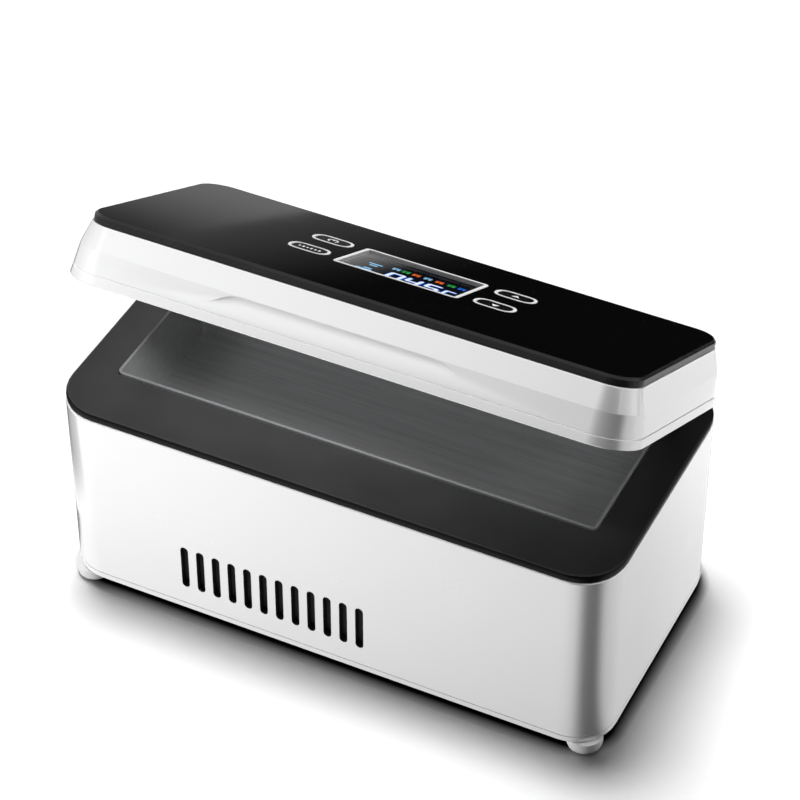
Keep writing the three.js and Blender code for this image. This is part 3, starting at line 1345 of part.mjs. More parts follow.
// The origin lies on the floor under the middle of the whole part with its lid at rest.
const coolingCase = new THREE.Group();
coolingCase.name = "insulin_cooling_case";
coolingCase.add(base(), lid());
coolingCase.updateMatrixWorld(true);
const extent = new THREE.Box3().setFromObject(coolingCase, true);
const middle = extent.getCenter(new THREE.Vector3());
coolingCase.position.set(-middle.x, -middle.y, -extent.min.z);

export default coolingCase;
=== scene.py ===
"""Looks of an insulin cooling case.

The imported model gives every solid, its place and its motion. This script puts smooth
copies of the moulded pieces in their place, gives every piece a finish, and adds the
display's image, the key signs and the vent screens. It then sets up the camera, the
floor, the lamps and the cards. Sizes are in millimetres until a mesh is made.
"""

import json
import logging
from contextlib import contextmanager
from dataclasses import dataclass
from enum import Enum
from math import cos, pi, radians, sin
from typing import Any, Callable, Iterable, Iterator, Union

import bmesh
import bpy
from mathutils import Matrix, Vector

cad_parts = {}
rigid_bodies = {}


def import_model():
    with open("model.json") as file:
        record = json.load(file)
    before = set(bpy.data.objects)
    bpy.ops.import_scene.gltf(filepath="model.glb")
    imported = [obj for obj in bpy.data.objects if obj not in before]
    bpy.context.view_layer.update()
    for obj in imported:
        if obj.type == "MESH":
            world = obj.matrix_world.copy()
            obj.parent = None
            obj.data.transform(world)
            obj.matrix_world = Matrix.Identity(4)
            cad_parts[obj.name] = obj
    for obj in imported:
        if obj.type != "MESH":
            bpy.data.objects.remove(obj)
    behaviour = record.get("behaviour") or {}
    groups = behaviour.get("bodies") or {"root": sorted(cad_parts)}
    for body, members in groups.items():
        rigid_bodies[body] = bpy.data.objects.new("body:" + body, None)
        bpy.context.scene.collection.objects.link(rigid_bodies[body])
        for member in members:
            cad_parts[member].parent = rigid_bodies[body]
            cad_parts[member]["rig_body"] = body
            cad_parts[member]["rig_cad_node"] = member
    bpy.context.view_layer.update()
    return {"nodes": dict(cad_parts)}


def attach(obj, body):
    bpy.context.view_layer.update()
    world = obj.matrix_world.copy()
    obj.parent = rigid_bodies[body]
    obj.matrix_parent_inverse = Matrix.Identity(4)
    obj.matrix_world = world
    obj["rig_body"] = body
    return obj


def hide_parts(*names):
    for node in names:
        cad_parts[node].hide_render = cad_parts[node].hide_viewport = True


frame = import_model()

LOG = logging.getLogger("cooling_case")
MM = 0.001
MERGE_DISTANCE = 2e-6  # metres
LEVEL_TOLERANCE = 1e-4  # metres
FLAT_ANGLE = radians(0.2)
FACING = 0.9  # cosine above which a face looks along an axis
FACE_WEIGHT = 80  # how much the larger faces turn the normals
MEAN = 0.5  # middle of a noise

Colour = tuple[float, float, float]
Point = tuple[float, float, float]
Pair = tuple[float, float]
Piece = bpy.types.Object
Face = bpy.types.MeshPolygon
Socket = bpy.types.NodeSocket

UNIT: Point = (1.0, 1.0, 1.0)
PURE_WHITE: Colour = (1.0, 1.0, 1.0)
PURE_BLACK: Colour = (0.0, 0.0, 0.0)


def metres(point: Iterable[float]) -> Vector:
    """A point in millimetres as a vector in metres."""
    return Vector(point) * MM


# Shader writing


def math_method(operation: str, turned: bool = False) -> Callable[..., "Signal"]:
    """Makes the method of a signal that adds a Math node.

    Args:
        operation: Blender's name of what the node does.
        turned: Puts the other term first.

    Returns:
        The method, which takes the other term where there is one.
    """

    def method(signal: "Signal", *others: "Term") -> "Signal":
        """Adds the node and gives its value."""
        terms = (*others, signal) if turned else (signal, *others)
        return signal.sheet.signal("Math", {"operation": operation}, dict(enumerate(terms)))

    return method


class Signal:
    """A node's output as a term of a Python expression."""

    __add__ = __radd__ = math_method("ADD")
    __sub__ = math_method("SUBTRACT")
    __rsub__ = math_method("SUBTRACT", turned=True)
    __mul__ = __rmul__ = math_method("MULTIPLY")
    largest = math_method("MAXIMUM")
    magnitude = math_method("ABSOLUTE")
    root = math_method("SQRT")
    sine = math_method("SINE")
    angle_over = math_method("ARCTAN2")

    def __init__(self, sheet: "Sheet", socket: Socket) -> None:
        """Wraps a socket of a sheet."""
        self.sheet, self.socket = sheet, socket

    def spread(self, low: float, high: float) -> "Signal":
        """Runs smoothly from 0 where the term is low to 1 where it is high."""
        inputs = {"Value": self, "From Min": low, "From Max": high}
        return self.sheet.signal("MapRange", {"interpolation_type": "SMOOTHSTEP"}, inputs)


Term = Union[Signal, float]


class Sheet:
    """The node tree of a material or world, with its output and shader."""

    def __init__(
        self, owner: bpy.types.Material | bpy.types.World, shader: str = "BsdfPrincipled",
    ) -> None:
        """Empties the tree and adds its output and shader.

        Args:
            owner: The material or world.
            shader: Type of the shader, as node() takes it.
        """
        owner.use_nodes = True
        self.tree = owner.node_tree
        self.tree.nodes.clear()
        self.shader = self.node(shader)
        kind = "World" if isinstance(owner, bpy.types.World) else "Material"
        self.node(f"Output{kind}", None, {"Surface": self.shader.outputs[0]})

    def node(
        self, kind: str, settings: dict[str, Any] | None = None,
        inputs: dict[str | int, Any] | None = None,
    ) -> bpy.types.Node:
        """Adds a node.

        Args:
            kind: Blender's type of node, without the words that all have.
            settings: The node's own settings.
            inputs: A value, signal or socket for each input, by name or number.

        Returns:
            The node.
        """
        made = self.tree.nodes.new(f"ShaderNode{kind}")
        for key, value in (settings or {}).items():
            setattr(made, key, value)
        for key, value in (inputs or {}).items():
            self.feed(made.inputs[key], value)
        return made

    def signal(self, *plan: Any, output: int | str = 0) -> Signal:
        """An output of a new node, whose plan is what node() takes."""
        return Signal(self, self.node(*plan).outputs[output])

    def feed(self, socket: Socket, value: Any) -> None:
        """Gives an input its link or its value.

        Args:
            socket: The input.
            value: A signal, a socket, a number or a colour.
        """
        if isinstance(value, Signal):
            value = value.socket
        if isinstance(value, Socket):
            self.tree.links.new(value, socket)
        else:
            socket.default_value = (*value, 1.0) if socket.type == "RGBA" else value

    def set(self, **values: Any) -> None:
        """Gives the shader's inputs their values.

        Args:
            values: A value for each input, by its name with underscores for spaces.
        """
        for key, value in values.items():
            name = key.replace("_", " ").title().replace("Ior", "IOR")
            self.feed(self.shader.inputs[name], value)

    def place(self, stretch: Point = UNIT, turn: float = 0.0) -> Socket:
        """Object coordinates, stretched and turned.

        Args:
            stretch: Factor on each axis.
            turn: Angle about the X axis in radians.

        Returns:
            The vector output.
        """
        source = self.node("TexCoord").outputs["Object"]
        inputs = {"Vector": source, "Scale": stretch, "Rotation": (turn, 0.0, 0.0)}
        return self.node("Mapping", None, inputs).outputs[0]

    def axes(self, turn: float = 0.0) -> tuple[Signal, Signal, Signal]:
        """The three Object coordinates in metres, turned about X."""
        parts = self.node("SeparateXYZ", None, {0: self.place(turn=turn)})
        return tuple(Signal(self, output) for output in parts.outputs)

    def noise(self, size: float, detail: float = 2.0, stretch: Point = UNIT) -> Signal:
        """Noise with grains of a size in millimetres and a number of finer layers."""
        inputs = {"Vector": self.place(stretch), "Scale": 1 / (size * MM), "Detail": detail}
        return self.signal("TexNoise", None, inputs)

    def cells(self, size: float) -> Signal:
        """Distance from the middles of cells of a size in millimetres, in cell sizes."""
        inputs = {"Vector": self.place(), "Scale": 1 / (size * MM)}
        return self.signal("TexVoronoi", None, inputs)

    def blend(self, share: Term, first: Any, second: Any) -> Socket:
        """Two colours or colour outputs mixed; a share of 1 shows the second alone."""
        inputs = {0: share, 6: first, 7: second}
        return self.node("Mix", {"data_type": "RGBA"}, inputs).outputs[2]

    def emboss(self, height: Signal, depth: float) -> None:
        """Bumps the surface by a height whose 1 measures a depth in millimetres."""
        inputs = {"Height": height, "Distance": depth * MM, "Strength": 1.0}
        self.set(normal=self.node("Bump", None, inputs).outputs[0])


@dataclass(frozen=True)
class Pattern:
    """A noise, or cells, of a size in millimetres that runs from 0 to 1 between levels."""

    size: float
    levels: Pair = (0.0, 0.0)
    detail: float = 2.0
    stretch: Point = UNIT
    cells: bool = False

    def on(self, sheet: Sheet) -> Signal:
        """Writes the pattern.

        Args:
            sheet: The node tree it goes to.

        Returns:
            The pattern, as it comes where its levels are the same.
        """
        if self.cells:
            raw = sheet.cells(self.size)
        else:
            raw = sheet.noise(self.size, self.detail, self.stretch)
        return raw if self.levels[0] == self.levels[1] else raw.spread(*self.levels)


# Finishes


@dataclass(frozen=True)
class Finish:
    """A finish of a moulded piece: even colour, fine grain, uneven gloss and faint clouds."""

    name: str
    slot: str
    colour: Colour
    roughness: float
    metallic: float = 0.0
    coat: float = 0.0
    coat_roughness: float = 0.05
    ior: float = 1.5
    grain: float = 0.3
    grain_depth: float = 0.004
    grain_detail: float = 3.0
    gloss_spread: float = 0.08
    tone_spread: float = 0.04
    tone_levels: Pair = (0.3, 0.7)
    cloud: Pattern = Pattern(18.0, detail=3.0)
    cloud_share: float = 0.7

    def material(self) -> bpy.types.Material:
        """Makes the material, once.

        Returns:
            The material.
        """
        known = bpy.data.materials.get(self.name)
        if known:
            return known
        made = bpy.data.materials.new(self.name)
        sheet = Sheet(made)
        sheet.set(
            base_color=self.colour, roughness=self.roughness, metallic=self.metallic,
            coat_weight=self.coat, coat_roughness=self.coat_roughness, ior=self.ior,
        )
        self.paint(sheet)
        return made

    def shade(self, factor: float) -> Colour:
        """The finish's colour, made lighter or darker."""
        return tuple(min(share * factor, 1.0) for share in self.colour)

    def duller(self, times: float = 1.0) -> Colour:
        """The finish's colour, darker by a number of tone spreads."""
        return self.shade(1 - times * self.tone_spread)

    def vary(self, sheet: Sheet, tone: Signal) -> Socket:
        """The finish's colour, from darker to lighter with a tone."""
        return sheet.blend(tone.spread(*self.tone_levels), self.duller(), self.duller(-1.0))

    def paint(self, sheet: Sheet) -> None:
        """Writes what changes over the surface.

        Args:
            sheet: The material's node tree.
        """
        cloud = self.cloud.on(sheet)
        fine = sheet.noise(self.grain, self.grain_detail)
        tone = cloud * self.cloud_share + fine * (1 - self.cloud_share)
        sheet.set(
            base_color=self.vary(sheet, tone),
            roughness=self.roughness + (fine - MEAN + (cloud - MEAN)) * self.gloss_spread,
        )
        sheet.emboss(fine, self.grain_depth)


@dataclass(frozen=True)
class Lacquer(Finish):
    """White lacquer with a flowed surface, fine flecks and faint clouds."""

    cloud: Pattern = Pattern(30.0, (0.2, 0.8))
    flow: Pattern = Pattern(1.6, detail=1.0)
    flow_depth: float = 0.0015
    fleck_levels: Pair = (0.1, 0.5)
    fleck_share: float = 0.25
    cloud_gloss: float = 0.5

    def paint(self, sheet: Sheet) -> None:
        """Writes the flow of the lacquer, its flecks and its uneven gloss.

        Args:
            sheet: The material's node tree.
        """
        fleck = sheet.cells(self.grain).spread(*self.fleck_levels) * self.fleck_share
        cloud = self.cloud.on(sheet)
        uneven = sheet.noise(self.grain) - MEAN + cloud * self.cloud_gloss
        base = sheet.blend(cloud, self.duller(), self.colour)
        sheet.set(
            base_color=sheet.blend(fleck, base, self.duller(2.0)),
            roughness=self.roughness + uneven * self.gloss_spread,
        )
        sheet.emboss(self.flow.on(sheet), self.flow_depth)


@dataclass(frozen=True)
class Gloss(Finish):
    """Polished black with wipe marks and dust in its gloss."""

    wipe: Pattern = Pattern(1.2, (0.45, 0.8), 3.0, (0.12, 1.0, 1.0))
    smear: Pattern = Pattern(26.0, (0.4, 0.75))
    ripple: Pattern = Pattern(30.0, detail=1.0)
    specks: Pattern = Pattern(2.6, (0.02, 0.05), cells=True)
    dust_colour: Colour = (0.05, 0.05, 0.05)
    dust_share: float = 0.5
    dust_roughness: float = 0.2

    def paint(self, sheet: Sheet) -> None:
        """Writes the wipe marks, the dust and a slight ripple.

        Args:
            sheet: The material's node tree.
        """
        dust = 1 - self.specks.on(sheet)
        marks = self.wipe.on(sheet) * self.smear.on(sheet) * self.gloss_spread
        sheet.set(
            base_color=sheet.blend(dust * self.dust_share, self.colour, self.dust_colour),
            roughness=self.roughness + marks + dust * self.dust_roughness,
        )
        sheet.emboss(self.ripple.on(sheet), self.grain_depth)


@dataclass(frozen=True)
class Brushed(Finish):
    """Metal with its grain along X, in fine and broad lines."""

    grain_detail: float = 4.0
    lay: Point = (0.02, 1.0, 1.0)
    broad: float = 7.0
    line_share: float = 0.6
    line_height: float = 0.7

    def paint(self, sheet: Sheet) -> None:
        """Writes the brushing lines.

        Args:
            sheet: The material's node tree.
        """
        line = sheet.noise(self.grain, self.grain_detail, self.lay)
        wide = sheet.noise(self.grain * self.broad, stretch=self.lay)
        sheet.set(
            base_color=self.vary(sheet, line * self.line_share + wide * (1 - self.line_share)),
            roughness=self.roughness + (line - MEAN) * self.gloss_spread,
        )
        height = line * self.line_height + wide * (1 - self.line_height)
        sheet.emboss(height, self.grain_depth)


@dataclass(frozen=True)
class Cellular(Finish):
    """Foam or ceramic with a cell structure."""

    cell_levels: Pair = (0.0, 0.7)
    cloud_cells: float = 8.0
    cloud_share: float = 0.3

    def paint(self, sheet: Sheet) -> None:
        """Writes the cells and clouds several cells wide.

        Args:
            sheet: The material's node tree.
        """
        cell = sheet.cells(self.grain).spread(*self.cell_levels)
        cloud = sheet.noise(self.grain * self.cloud_cells).spread(*self.tone_levels)
        base = sheet.blend(cell, self.colour, self.duller())
        sheet.set(
            base_color=sheet.blend(cloud * self.cloud_share, base, self.duller(2.0)),
            roughness=self.roughness + (cell - MEAN) * self.gloss_spread,
        )
        sheet.emboss(1 - cell, self.grain_depth)


@dataclass(frozen=True)
class Circuit(Finish):
    """Circuit board with copper tracks and solder dots under its lacquer."""

    track: Colour = (0.05, 0.19, 0.07)
    solder: Colour = (0.55, 0.55, 0.52)
    wander: Pattern = Pattern(9.0, detail=0.0)
    wander_width: float = 0.006
    line_rates: Pair = (900.0, 800.0)
    line_levels: tuple[Pair, Pair] = ((0.35, 0.5), (0.55, 0.7))
    areas: tuple[Pattern, Pattern] = (
        Pattern(6.0, (0.45, 0.52), 0.0), Pattern(7.0, (0.5, 0.56), 0.0),
    )
    pads: Pattern = Pattern(3.2, (0.1, 0.14), cells=True)
    pad_polish: float = 0.15
    pad_metal: float = 0.8

    def paint(self, sheet: Sheet) -> None:
        """Writes the tracks along both axes and the solder dots.

        Args:
            sheet: The material's node tree.
        """
        east, north, _ = sheet.axes()
        ways = (east + self.wander.on(sheet) * self.wander_width, north)
        lines = [
            (way * rate).sine().spread(*levels) * area.on(sheet)
            for way, rate, levels, area in zip(ways, self.line_rates, self.line_levels, self.areas)
        ]
        tracks = lines[0].largest(lines[1])
        dot = 1 - self.pads.on(sheet)
        board = sheet.blend(tracks, self.colour, self.track)
        sheet.set(
            base_color=sheet.blend(dot, board, self.solder),
            roughness=self.roughness - dot * self.pad_polish,
            metallic=dot * self.pad_metal,
        )
        sheet.emboss(tracks.largest(dot), self.grain_depth)


@dataclass(frozen=True)
class Smoked(Finish):
    """Clear window, slightly dark, with faint smears."""

    veil: float = 0.24
    smear: Pattern = Pattern(14.0, (0.45, 0.8))

    def paint(self, sheet: Sheet) -> None:
        """Lets light straight through and writes the smears."""
        haze = self.smear.on(sheet) * self.gloss_spread
        sheet.set(alpha=self.veil + haze, roughness=self.roughness + haze)


@dataclass(frozen=True)
class DisplayImage(Finish):
    """Lit dark face of the display, with a painted grey reflection at its back left corner."""

    turn: float = 0.0
    # glow is the colour of the painted reflection, a grey given off at the back left corner.
    glow: Colour = (0.36, 0.36, 0.35)
    reflection_way: Pair = (-24.0, 5.0)
    reflection_levels: Pair = (-0.15, 0.45)
    reflection_tone: float = 2.0
    pitch: Pattern = Pattern(0.22, (0.15, 0.5), cells=True)
    pitch_share: float = 0.2

    def paint(self, sheet: Sheet) -> None:
        """Writes the painted reflection and the fine dot pitch.

        Args:
            sheet: The material's node tree.
        """
        east, north, _ = sheet.axes(self.turn)
        # Painted reflection: grey light and a lighter base colour towards the back left corner.
        painted_reflection = (east * self.reflection_way[0] + north * self.reflection_way[1]).spread(*self.reflection_levels)
        lit = sheet.blend(painted_reflection, self.colour, self.glow)
        sheet.set(
            base_color=sheet.blend(painted_reflection, self.colour, self.shade(self.reflection_tone)),
            emission_color=sheet.blend(self.pitch.on(sheet) * self.pitch_share, lit, self.colour),
            emission_strength=1.0,
        )


@dataclass(frozen=True)
class Glow(Finish):
    """Lit sign of the display, brighter at the middle of its dots."""

    pitch: Pattern = Pattern(0.2, (0.2, 0.6), cells=True)
    pitch_share: float = 0.25
    pitch_tone: float = 0.5

    def paint(self, sheet: Sheet) -> None:
        """Writes the glow and the dot pitch.

        Args:
            sheet: The material's node tree.
        """
        share = self.pitch.on(sheet) * self.pitch_share
        lit = sheet.blend(share, self.colour, self.shade(self.pitch_tone))
        sheet.set(emission_color=lit, emission_strength=1.0)


WHITE = Lacquer(
    "pearl_white_lacquer", "white_plastic", (0.86, 0.86, 0.865), 0.22, metallic=0.45, coat=1.0,
    coat_roughness=0.06, grain=0.35, tone_spread=0.015,
)
INLAY = Finish(
    "white_inlay_print", "white_inlay", (0.86, 0.86, 0.86), 0.35, grain=0.15, tone_spread=0.02,
)
PANEL_BLACK = Gloss(
    "polished_black_panel", "black_gloss", (0.0018, 0.0018, 0.002), 0.05, ior=1.42,
    grain_depth=0.006, gloss_spread=0.06,
)
# The panel's bevel and sides, rougher than its top and painted a lighter grey: the grey is a
# painted sheen on the edge.
PANEL_EDGE_SHEEN = Finish(
    "panel_edge_painted_sheen", "black_gloss", (0.014, 0.014, 0.0145), 0.26, ior=1.3, grain=0.12,
    grain_depth=0.002, gloss_spread=0.1, tone_spread=0.1,
)
DECK_BLACK = Finish(
    "satin_black_deck", "black_plastic", (0.036, 0.036, 0.037), 0.36, ior=1.4, grain=0.22,
    grain_depth=0.003, gloss_spread=0.1, tone_spread=0.12,
)
# Darker copy of the deck's black for its sides and bevels: painted shade on faces that do not look
# up.
DECK_EDGE_SHADE = Finish(
    "deck_edge_painted_shade", "black_plastic", (0.004, 0.004, 0.0042), 0.3, ior=1.25, grain=0.22,
    grain_depth=0.002, gloss_spread=0.1, tone_spread=0.15,
)
CAP_BLACK = Gloss(
    "black_key_cap", "black_gloss", (0.006, 0.006, 0.0065), 0.12, ior=1.42, grain_depth=0.002,
    gloss_spread=0.06,
)
ALUMINIUM = Brushed(
    "brushed_aluminium_liner", "brushed_aluminium", (0.5, 0.505, 0.51), 0.36, metallic=1.0,
    gloss_spread=0.16, tone_spread=0.14,
)
LINER = Brushed(
    "satin_metal_liner", "brushed_aluminium", (0.5, 0.505, 0.51), 0.36, metallic=0.7,
    gloss_spread=0.16, tone_spread=0.12,
)
# Top of the liner's rim: a paler, less metallic copy of the liner, a painted highlight along the
# real lip.
LINER_RIM_HIGHLIGHT = Finish(
    "liner_rim_painted_highlight", "brushed_aluminium", (0.34, 0.345, 0.35), 0.3, metallic=0.1,
    grain_depth=0.003, gloss_spread=0.12, tone_spread=0.08,
)
ANODISED = Brushed(
    "black_anodised_sink", "black_anodised", (0.03, 0.03, 0.032), 0.42, metallic=0.7, grain=0.35,
    gloss_spread=0.12, tone_spread=0.2,
)
STEEL = Brushed(
    "turned_bright_steel", "bright_steel", (0.62, 0.62, 0.63), 0.22, metallic=1.0, grain=0.15,
    grain_depth=0.002, gloss_spread=0.12, tone_spread=0.08, lay=(1.0, 1.0, 0.1),
)
FOOT = Finish(
    "pale_foot_rubber", "foot_rubber", (0.6, 0.6, 0.6), 0.5, grain=0.25, grain_depth=0.01,
    gloss_spread=0.12, tone_spread=0.05,
)
GASKET = Finish(
    "grey_gasket_rubber", "gasket_rubber", (0.09, 0.09, 0.095), 0.6, grain=0.2, grain_depth=0.012,
    gloss_spread=0.15, tone_spread=0.15,
)
FOAM = Cellular(
    "insulating_foam_cells", "insulating_foam", (0.62, 0.62, 0.6), 0.85, grain=1.4,
    grain_depth=0.25, gloss_spread=0.1, tone_spread=0.12,
)
CERAMIC = Cellular(
    "white_ceramic_plate", "white_ceramic", (0.72, 0.72, 0.7), 0.5, grain=0.12, gloss_spread=0.1,
    tone_spread=0.06,
)
BOARD = Circuit(
    "green_circuit_board", "circuit_board", (0.015, 0.09, 0.035), 0.35, coat=0.6, grain_depth=0.03,
)
SLEEVE = Finish(
    "blue_battery_sleeve", "battery_sleeve", (0.03, 0.12, 0.32), 0.3, coat=0.4, grain=0.8,
    grain_depth=0.02, gloss_spread=0.12, tone_spread=0.1,
)
# Black wire of the vent screens; also painted on the shell's slot walls as painted shade.
SCREEN_WIRE_AND_SLOT_SHADE = Finish(
    "black_screen_wire_and_slot_shade", "black_plastic", (0.008, 0.008, 0.008), 0.6, grain=0.1, tone_spread=0.3,
)
WINDOW = Smoked(
    "smoked_window", "smoked_lens", (0.003, 0.003, 0.004), 0.03, ior=1.6, gloss_spread=0.03,
)


# Modelling


def deselect() -> None:
    """Deselects everything."""
    for item in bpy.context.selected_objects:
        item.select_set(False)


def pick(*pieces: Piece) -> None:
    """Selects pieces and makes the first the active one.

    Args:
        pieces: The pieces.
    """
    deselect()
    for piece in pieces:
        piece.select_set(True)
    bpy.context.view_layer.objects.active = pieces[0]


@contextmanager
def editing() -> Iterator[Piece]:
    """Edits the active piece's mesh, all of it selected at first.

    Returns:
        The piece.
    """
    bpy.ops.object.mode_set(mode="EDIT")
    bpy.ops.mesh.select_all(action="SELECT")
    yield bpy.context.object
    bpy.ops.object.mode_set(mode="OBJECT")


def thicken(height: float) -> None:
    """Gives the flat shape in edit mode a height.

    Args:
        height: The height in millimetres.
    """
    bpy.ops.mesh.select_all(action="SELECT")
    bpy.ops.mesh.extrude_region_move(TRANSFORM_OT_translate={"value": (0.0, 0.0, height * MM)})
    bpy.ops.mesh.select_all(action="SELECT")
    bpy.ops.mesh.normals_make_consistent(inside=False)


def apply(piece: Piece, kind: str, **settings: Any) -> None:
    """Adds a modifier to a piece and applies it.

    Args:
        piece: The piece.
        kind: Blender's type of modifier.
        settings: The modifier's settings.
    """
    pick(piece)
    modifier = piece.modifiers.new(kind.lower(), kind)
    for key, value in settings.items():
        setattr(modifier, key, value)
    bpy.ops.object.modifier_apply(modifier=modifier.name)


def settle(piece: Piece, name: str, place: Matrix | None = None) -> Piece:
    """Names a piece and moves its place into its mesh.

    Args:
        piece: The piece.
        name: Its name.
        place: A further move of its mesh.

    Returns:
        The piece.
    """
    pick(piece)
    bpy.ops.object.transform_apply(location=True, rotation=True, scale=True)
    if place is not None:
        piece.data.transform(place)
    piece.name = piece.data.name = name
    return piece


def plate(size: Pair, centre: Point, thickness: float, corner: float, steps: int) -> Piece:
    """Models a flat plate with rounded corners.

    Args:
        size: Length and depth in millimetres.
        centre: Middle of its underside in millimetres.
        thickness: Height in millimetres.
        corner: Radius of its corners in millimetres.
        steps: Faces round each corner.

    Returns:
        The plate.
    """
    deselect()
    bpy.ops.mesh.primitive_plane_add(size=MM, location=metres(centre))
    with editing() as piece:
        bpy.ops.transform.resize(value=(*size, 1.0))
        bpy.ops.mesh.bevel(offset=corner * MM, segments=steps, affect="VERTICES")
        thicken(thickness)
    return piece


def join(pieces: list[Piece], name: str, place: Matrix | None = None) -> Piece:
    """Joins pieces into one and settles it.

    Args:
        pieces: The pieces.
        name: Name of the joined piece.
        place: A further move of its mesh.

    Returns:
        The joined piece.
    """
    for piece in pieces:
        settle(piece, piece.name)
    pick(*pieces)
    if len(pieces) > 1:
        bpy.ops.object.join()
    return settle(bpy.context.object, name, place)


def dress(piece: Piece, finish: Finish) -> None:
    """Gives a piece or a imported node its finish.

    Args:
        piece: The piece or node.
        finish: The finish.
    """
    material = finish.material()
    if not piece.material_slots:
        piece.data.materials.append(material)
    for slot in piece.material_slots:
        slot.link = "OBJECT" if "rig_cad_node" in piece else "DATA"
        slot.material = material
    LOG.info("%s, finish %s", piece.name, finish.name)


def dress_node(node: str, finish: Finish) -> None:
    """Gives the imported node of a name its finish."""
    dress(frame["nodes"][node], finish)


def add(piece: Piece, body: str, finish: Finish) -> Piece:
    """Dresses a new piece and lets it ride on a body.

    Args:
        piece: The piece.
        body: Name of the body.
        finish: The finish.

    Returns:
        The piece.
    """
    dress(piece, finish)
    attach(piece, body)
    return piece


def repaint(piece: Piece, finish: Finish, chosen: Callable[[Face], bool]) -> None:
    """Gives some faces of a piece a second finish.

    Args:
        piece: The piece.
        finish: The second finish.
        chosen: Tells if a face takes it.
    """
    piece.data.materials.append(finish.material())
    for face in piece.data.polygons:
        face.material_index = int(chosen(face))


def smooth_copy(
    node: str, name: str, finish: Finish, angle: float = 32.0, crease: float | None = None,
) -> Piece:
    """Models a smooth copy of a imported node, which it then stands for.

    Args:
        node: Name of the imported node.
        name: Name of the copy.
        finish: Its finish.
        angle: Edges sharper than this stay sharp, in degrees.
        crease: Height in the closed lid's frame at which edges stay sharp, in millimetres.

    Returns:
        The copy.
    """
    source = frame["nodes"][node]
    copy = bpy.data.objects.new(name, source.data.copy())
    bpy.context.scene.collection.objects.link(copy)
    copy.data.materials.clear()
    pick(copy)
    with editing():
        bpy.ops.mesh.customdata_custom_splitnormals_clear()
        bpy.ops.mesh.remove_doubles(threshold=MERGE_DISTANCE)
        bpy.ops.mesh.dissolve_limited(angle_limit=FLAT_ANGLE)
    bpy.ops.object.shade_smooth_by_angle(angle=radians(angle))
    if crease is not None:
        to_lid = LID_PLACE.matrix.inverted()
        heights = [(to_lid @ vertex.co).z - crease * MM for vertex in copy.data.vertices]
        for edge in copy.data.edges:
            level = all(abs(heights[vertex]) < LEVEL_TOLERANCE for vertex in edge.vertices)
            edge.use_edge_sharp |= level
    apply(copy, "WEIGHTED_NORMAL", keep_sharp=True, weight=FACE_WEIGHT)
    settle(copy, name)
    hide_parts(node)
    return add(copy, source["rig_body"], finish)


# Sub-assemblies


@dataclass
class Housing:
    """Lower shell, bottom cover, feet and vent screens."""

    row_middle: float = -20.1
    row_height: float = 26.5
    screen_size: Pair = (78.0, 24.0)
    screen_corner: float = 2.0
    corner_steps: int = 4
    front_wall: float = -52.62
    back_wall: float = 48.58
    wall_slope: float = 0.5
    screen_gap: float = 0.2
    rim_width: float = 2.0
    rim_thickness: float = 0.9
    wire: float = 0.32
    pitch: float = 1.0
    weave_inset: float = 2.4
    fewer: int = 2
    foot_angle: float = 40.0
    corners: tuple[str, ...] = ("front_left", "front_right", "back_left", "back_right")

    def build(self) -> None:
        """Models and dresses the pieces of the housing."""
        shell = smooth_copy("lower_shell", "case_shell", WHITE)
        # The vent slots' walls are painted black: painted shade inside the slots.
        repaint(shell, SCREEN_WIRE_AND_SLOT_SHADE, self.in_painted_slot_shade)
        smooth_copy("bottom_cover", "case_cover", WHITE)
        for corner in self.corners:
            smooth_copy(f"foot_{corner}", f"case_foot_{corner}", FOOT, self.foot_angle)
            dress_node(f"cover_screw_{corner}", STEEL)
        self.screen("vent_screen_front", self.front_wall, 1.0)
        self.screen("vent_screen_back", self.back_wall, -1.0)

    def in_painted_slot_shade(self, face: Face) -> bool:
        """Tells if a face of the shell is a wall of a vent slot, painted black as shade.

        Args:
            face: The face.

        Returns:
            True where it is one.
        """
        east, north, up = face.center / MM
        length, height = self.screen_size
        in_row = abs(east - self.row_middle) < length / 2 and abs(up - self.row_height) < height / 2
        in_wall = not self.front_wall < north < self.back_wall
        return in_row and in_wall and abs(face.normal.y) < self.wall_slope

    def screen(self, name: str, wall: float, inward: float) -> None:
        """Models a woven dust screen in its rim, behind a row of slots.

        Args:
            name: Name of the screen.
            wall: Inner face of the wall in millimetres along Y.
            inward: 1 where the inside lies towards +Y, -1 where it lies towards -Y.
        """
        origin, middle = (0.0, 0.0, 0.0), (0.0, 0.0, self.rim_thickness / 2)
        corner = (self.screen_corner, self.corner_steps)
        rim = plate(self.screen_size, origin, self.rim_thickness, *corner)
        with editing():
            mesh = bmesh.from_edit_mesh(rim.data)
            for face in mesh.faces:
                face.select_set(abs(face.normal.z) > FACING)
            mesh.select_flush(True)
            bmesh.update_edit_mesh(rim.data)
            bpy.ops.mesh.inset(thickness=self.rim_width * MM)
            bpy.ops.mesh.bridge_edge_loops()
        deselect()
        across, along = (int(side / self.pitch) - self.fewer for side in self.screen_size)
        bpy.ops.mesh.primitive_grid_add(
            x_subdivisions=across, y_subdivisions=along, size=MM, location=metres(middle),
        )
        with editing() as weave:
            sides = (side - self.weave_inset for side in self.screen_size)
            bpy.ops.transform.resize(value=(*sides, 1.0))
        apply(weave, "WIREFRAME", thickness=self.wire * MM, use_boundary=True)
        depth = wall + inward * self.screen_gap + max(inward, 0.0) * self.rim_thickness
        place = Matrix.Translation(metres((self.row_middle, depth, self.row_height)))
        upright = place @ Matrix.Rotation(pi / 2, 4, "X")
        add(join([rim, weave], name, upright), "base", SCREEN_WIRE_AND_SLOT_SHADE)


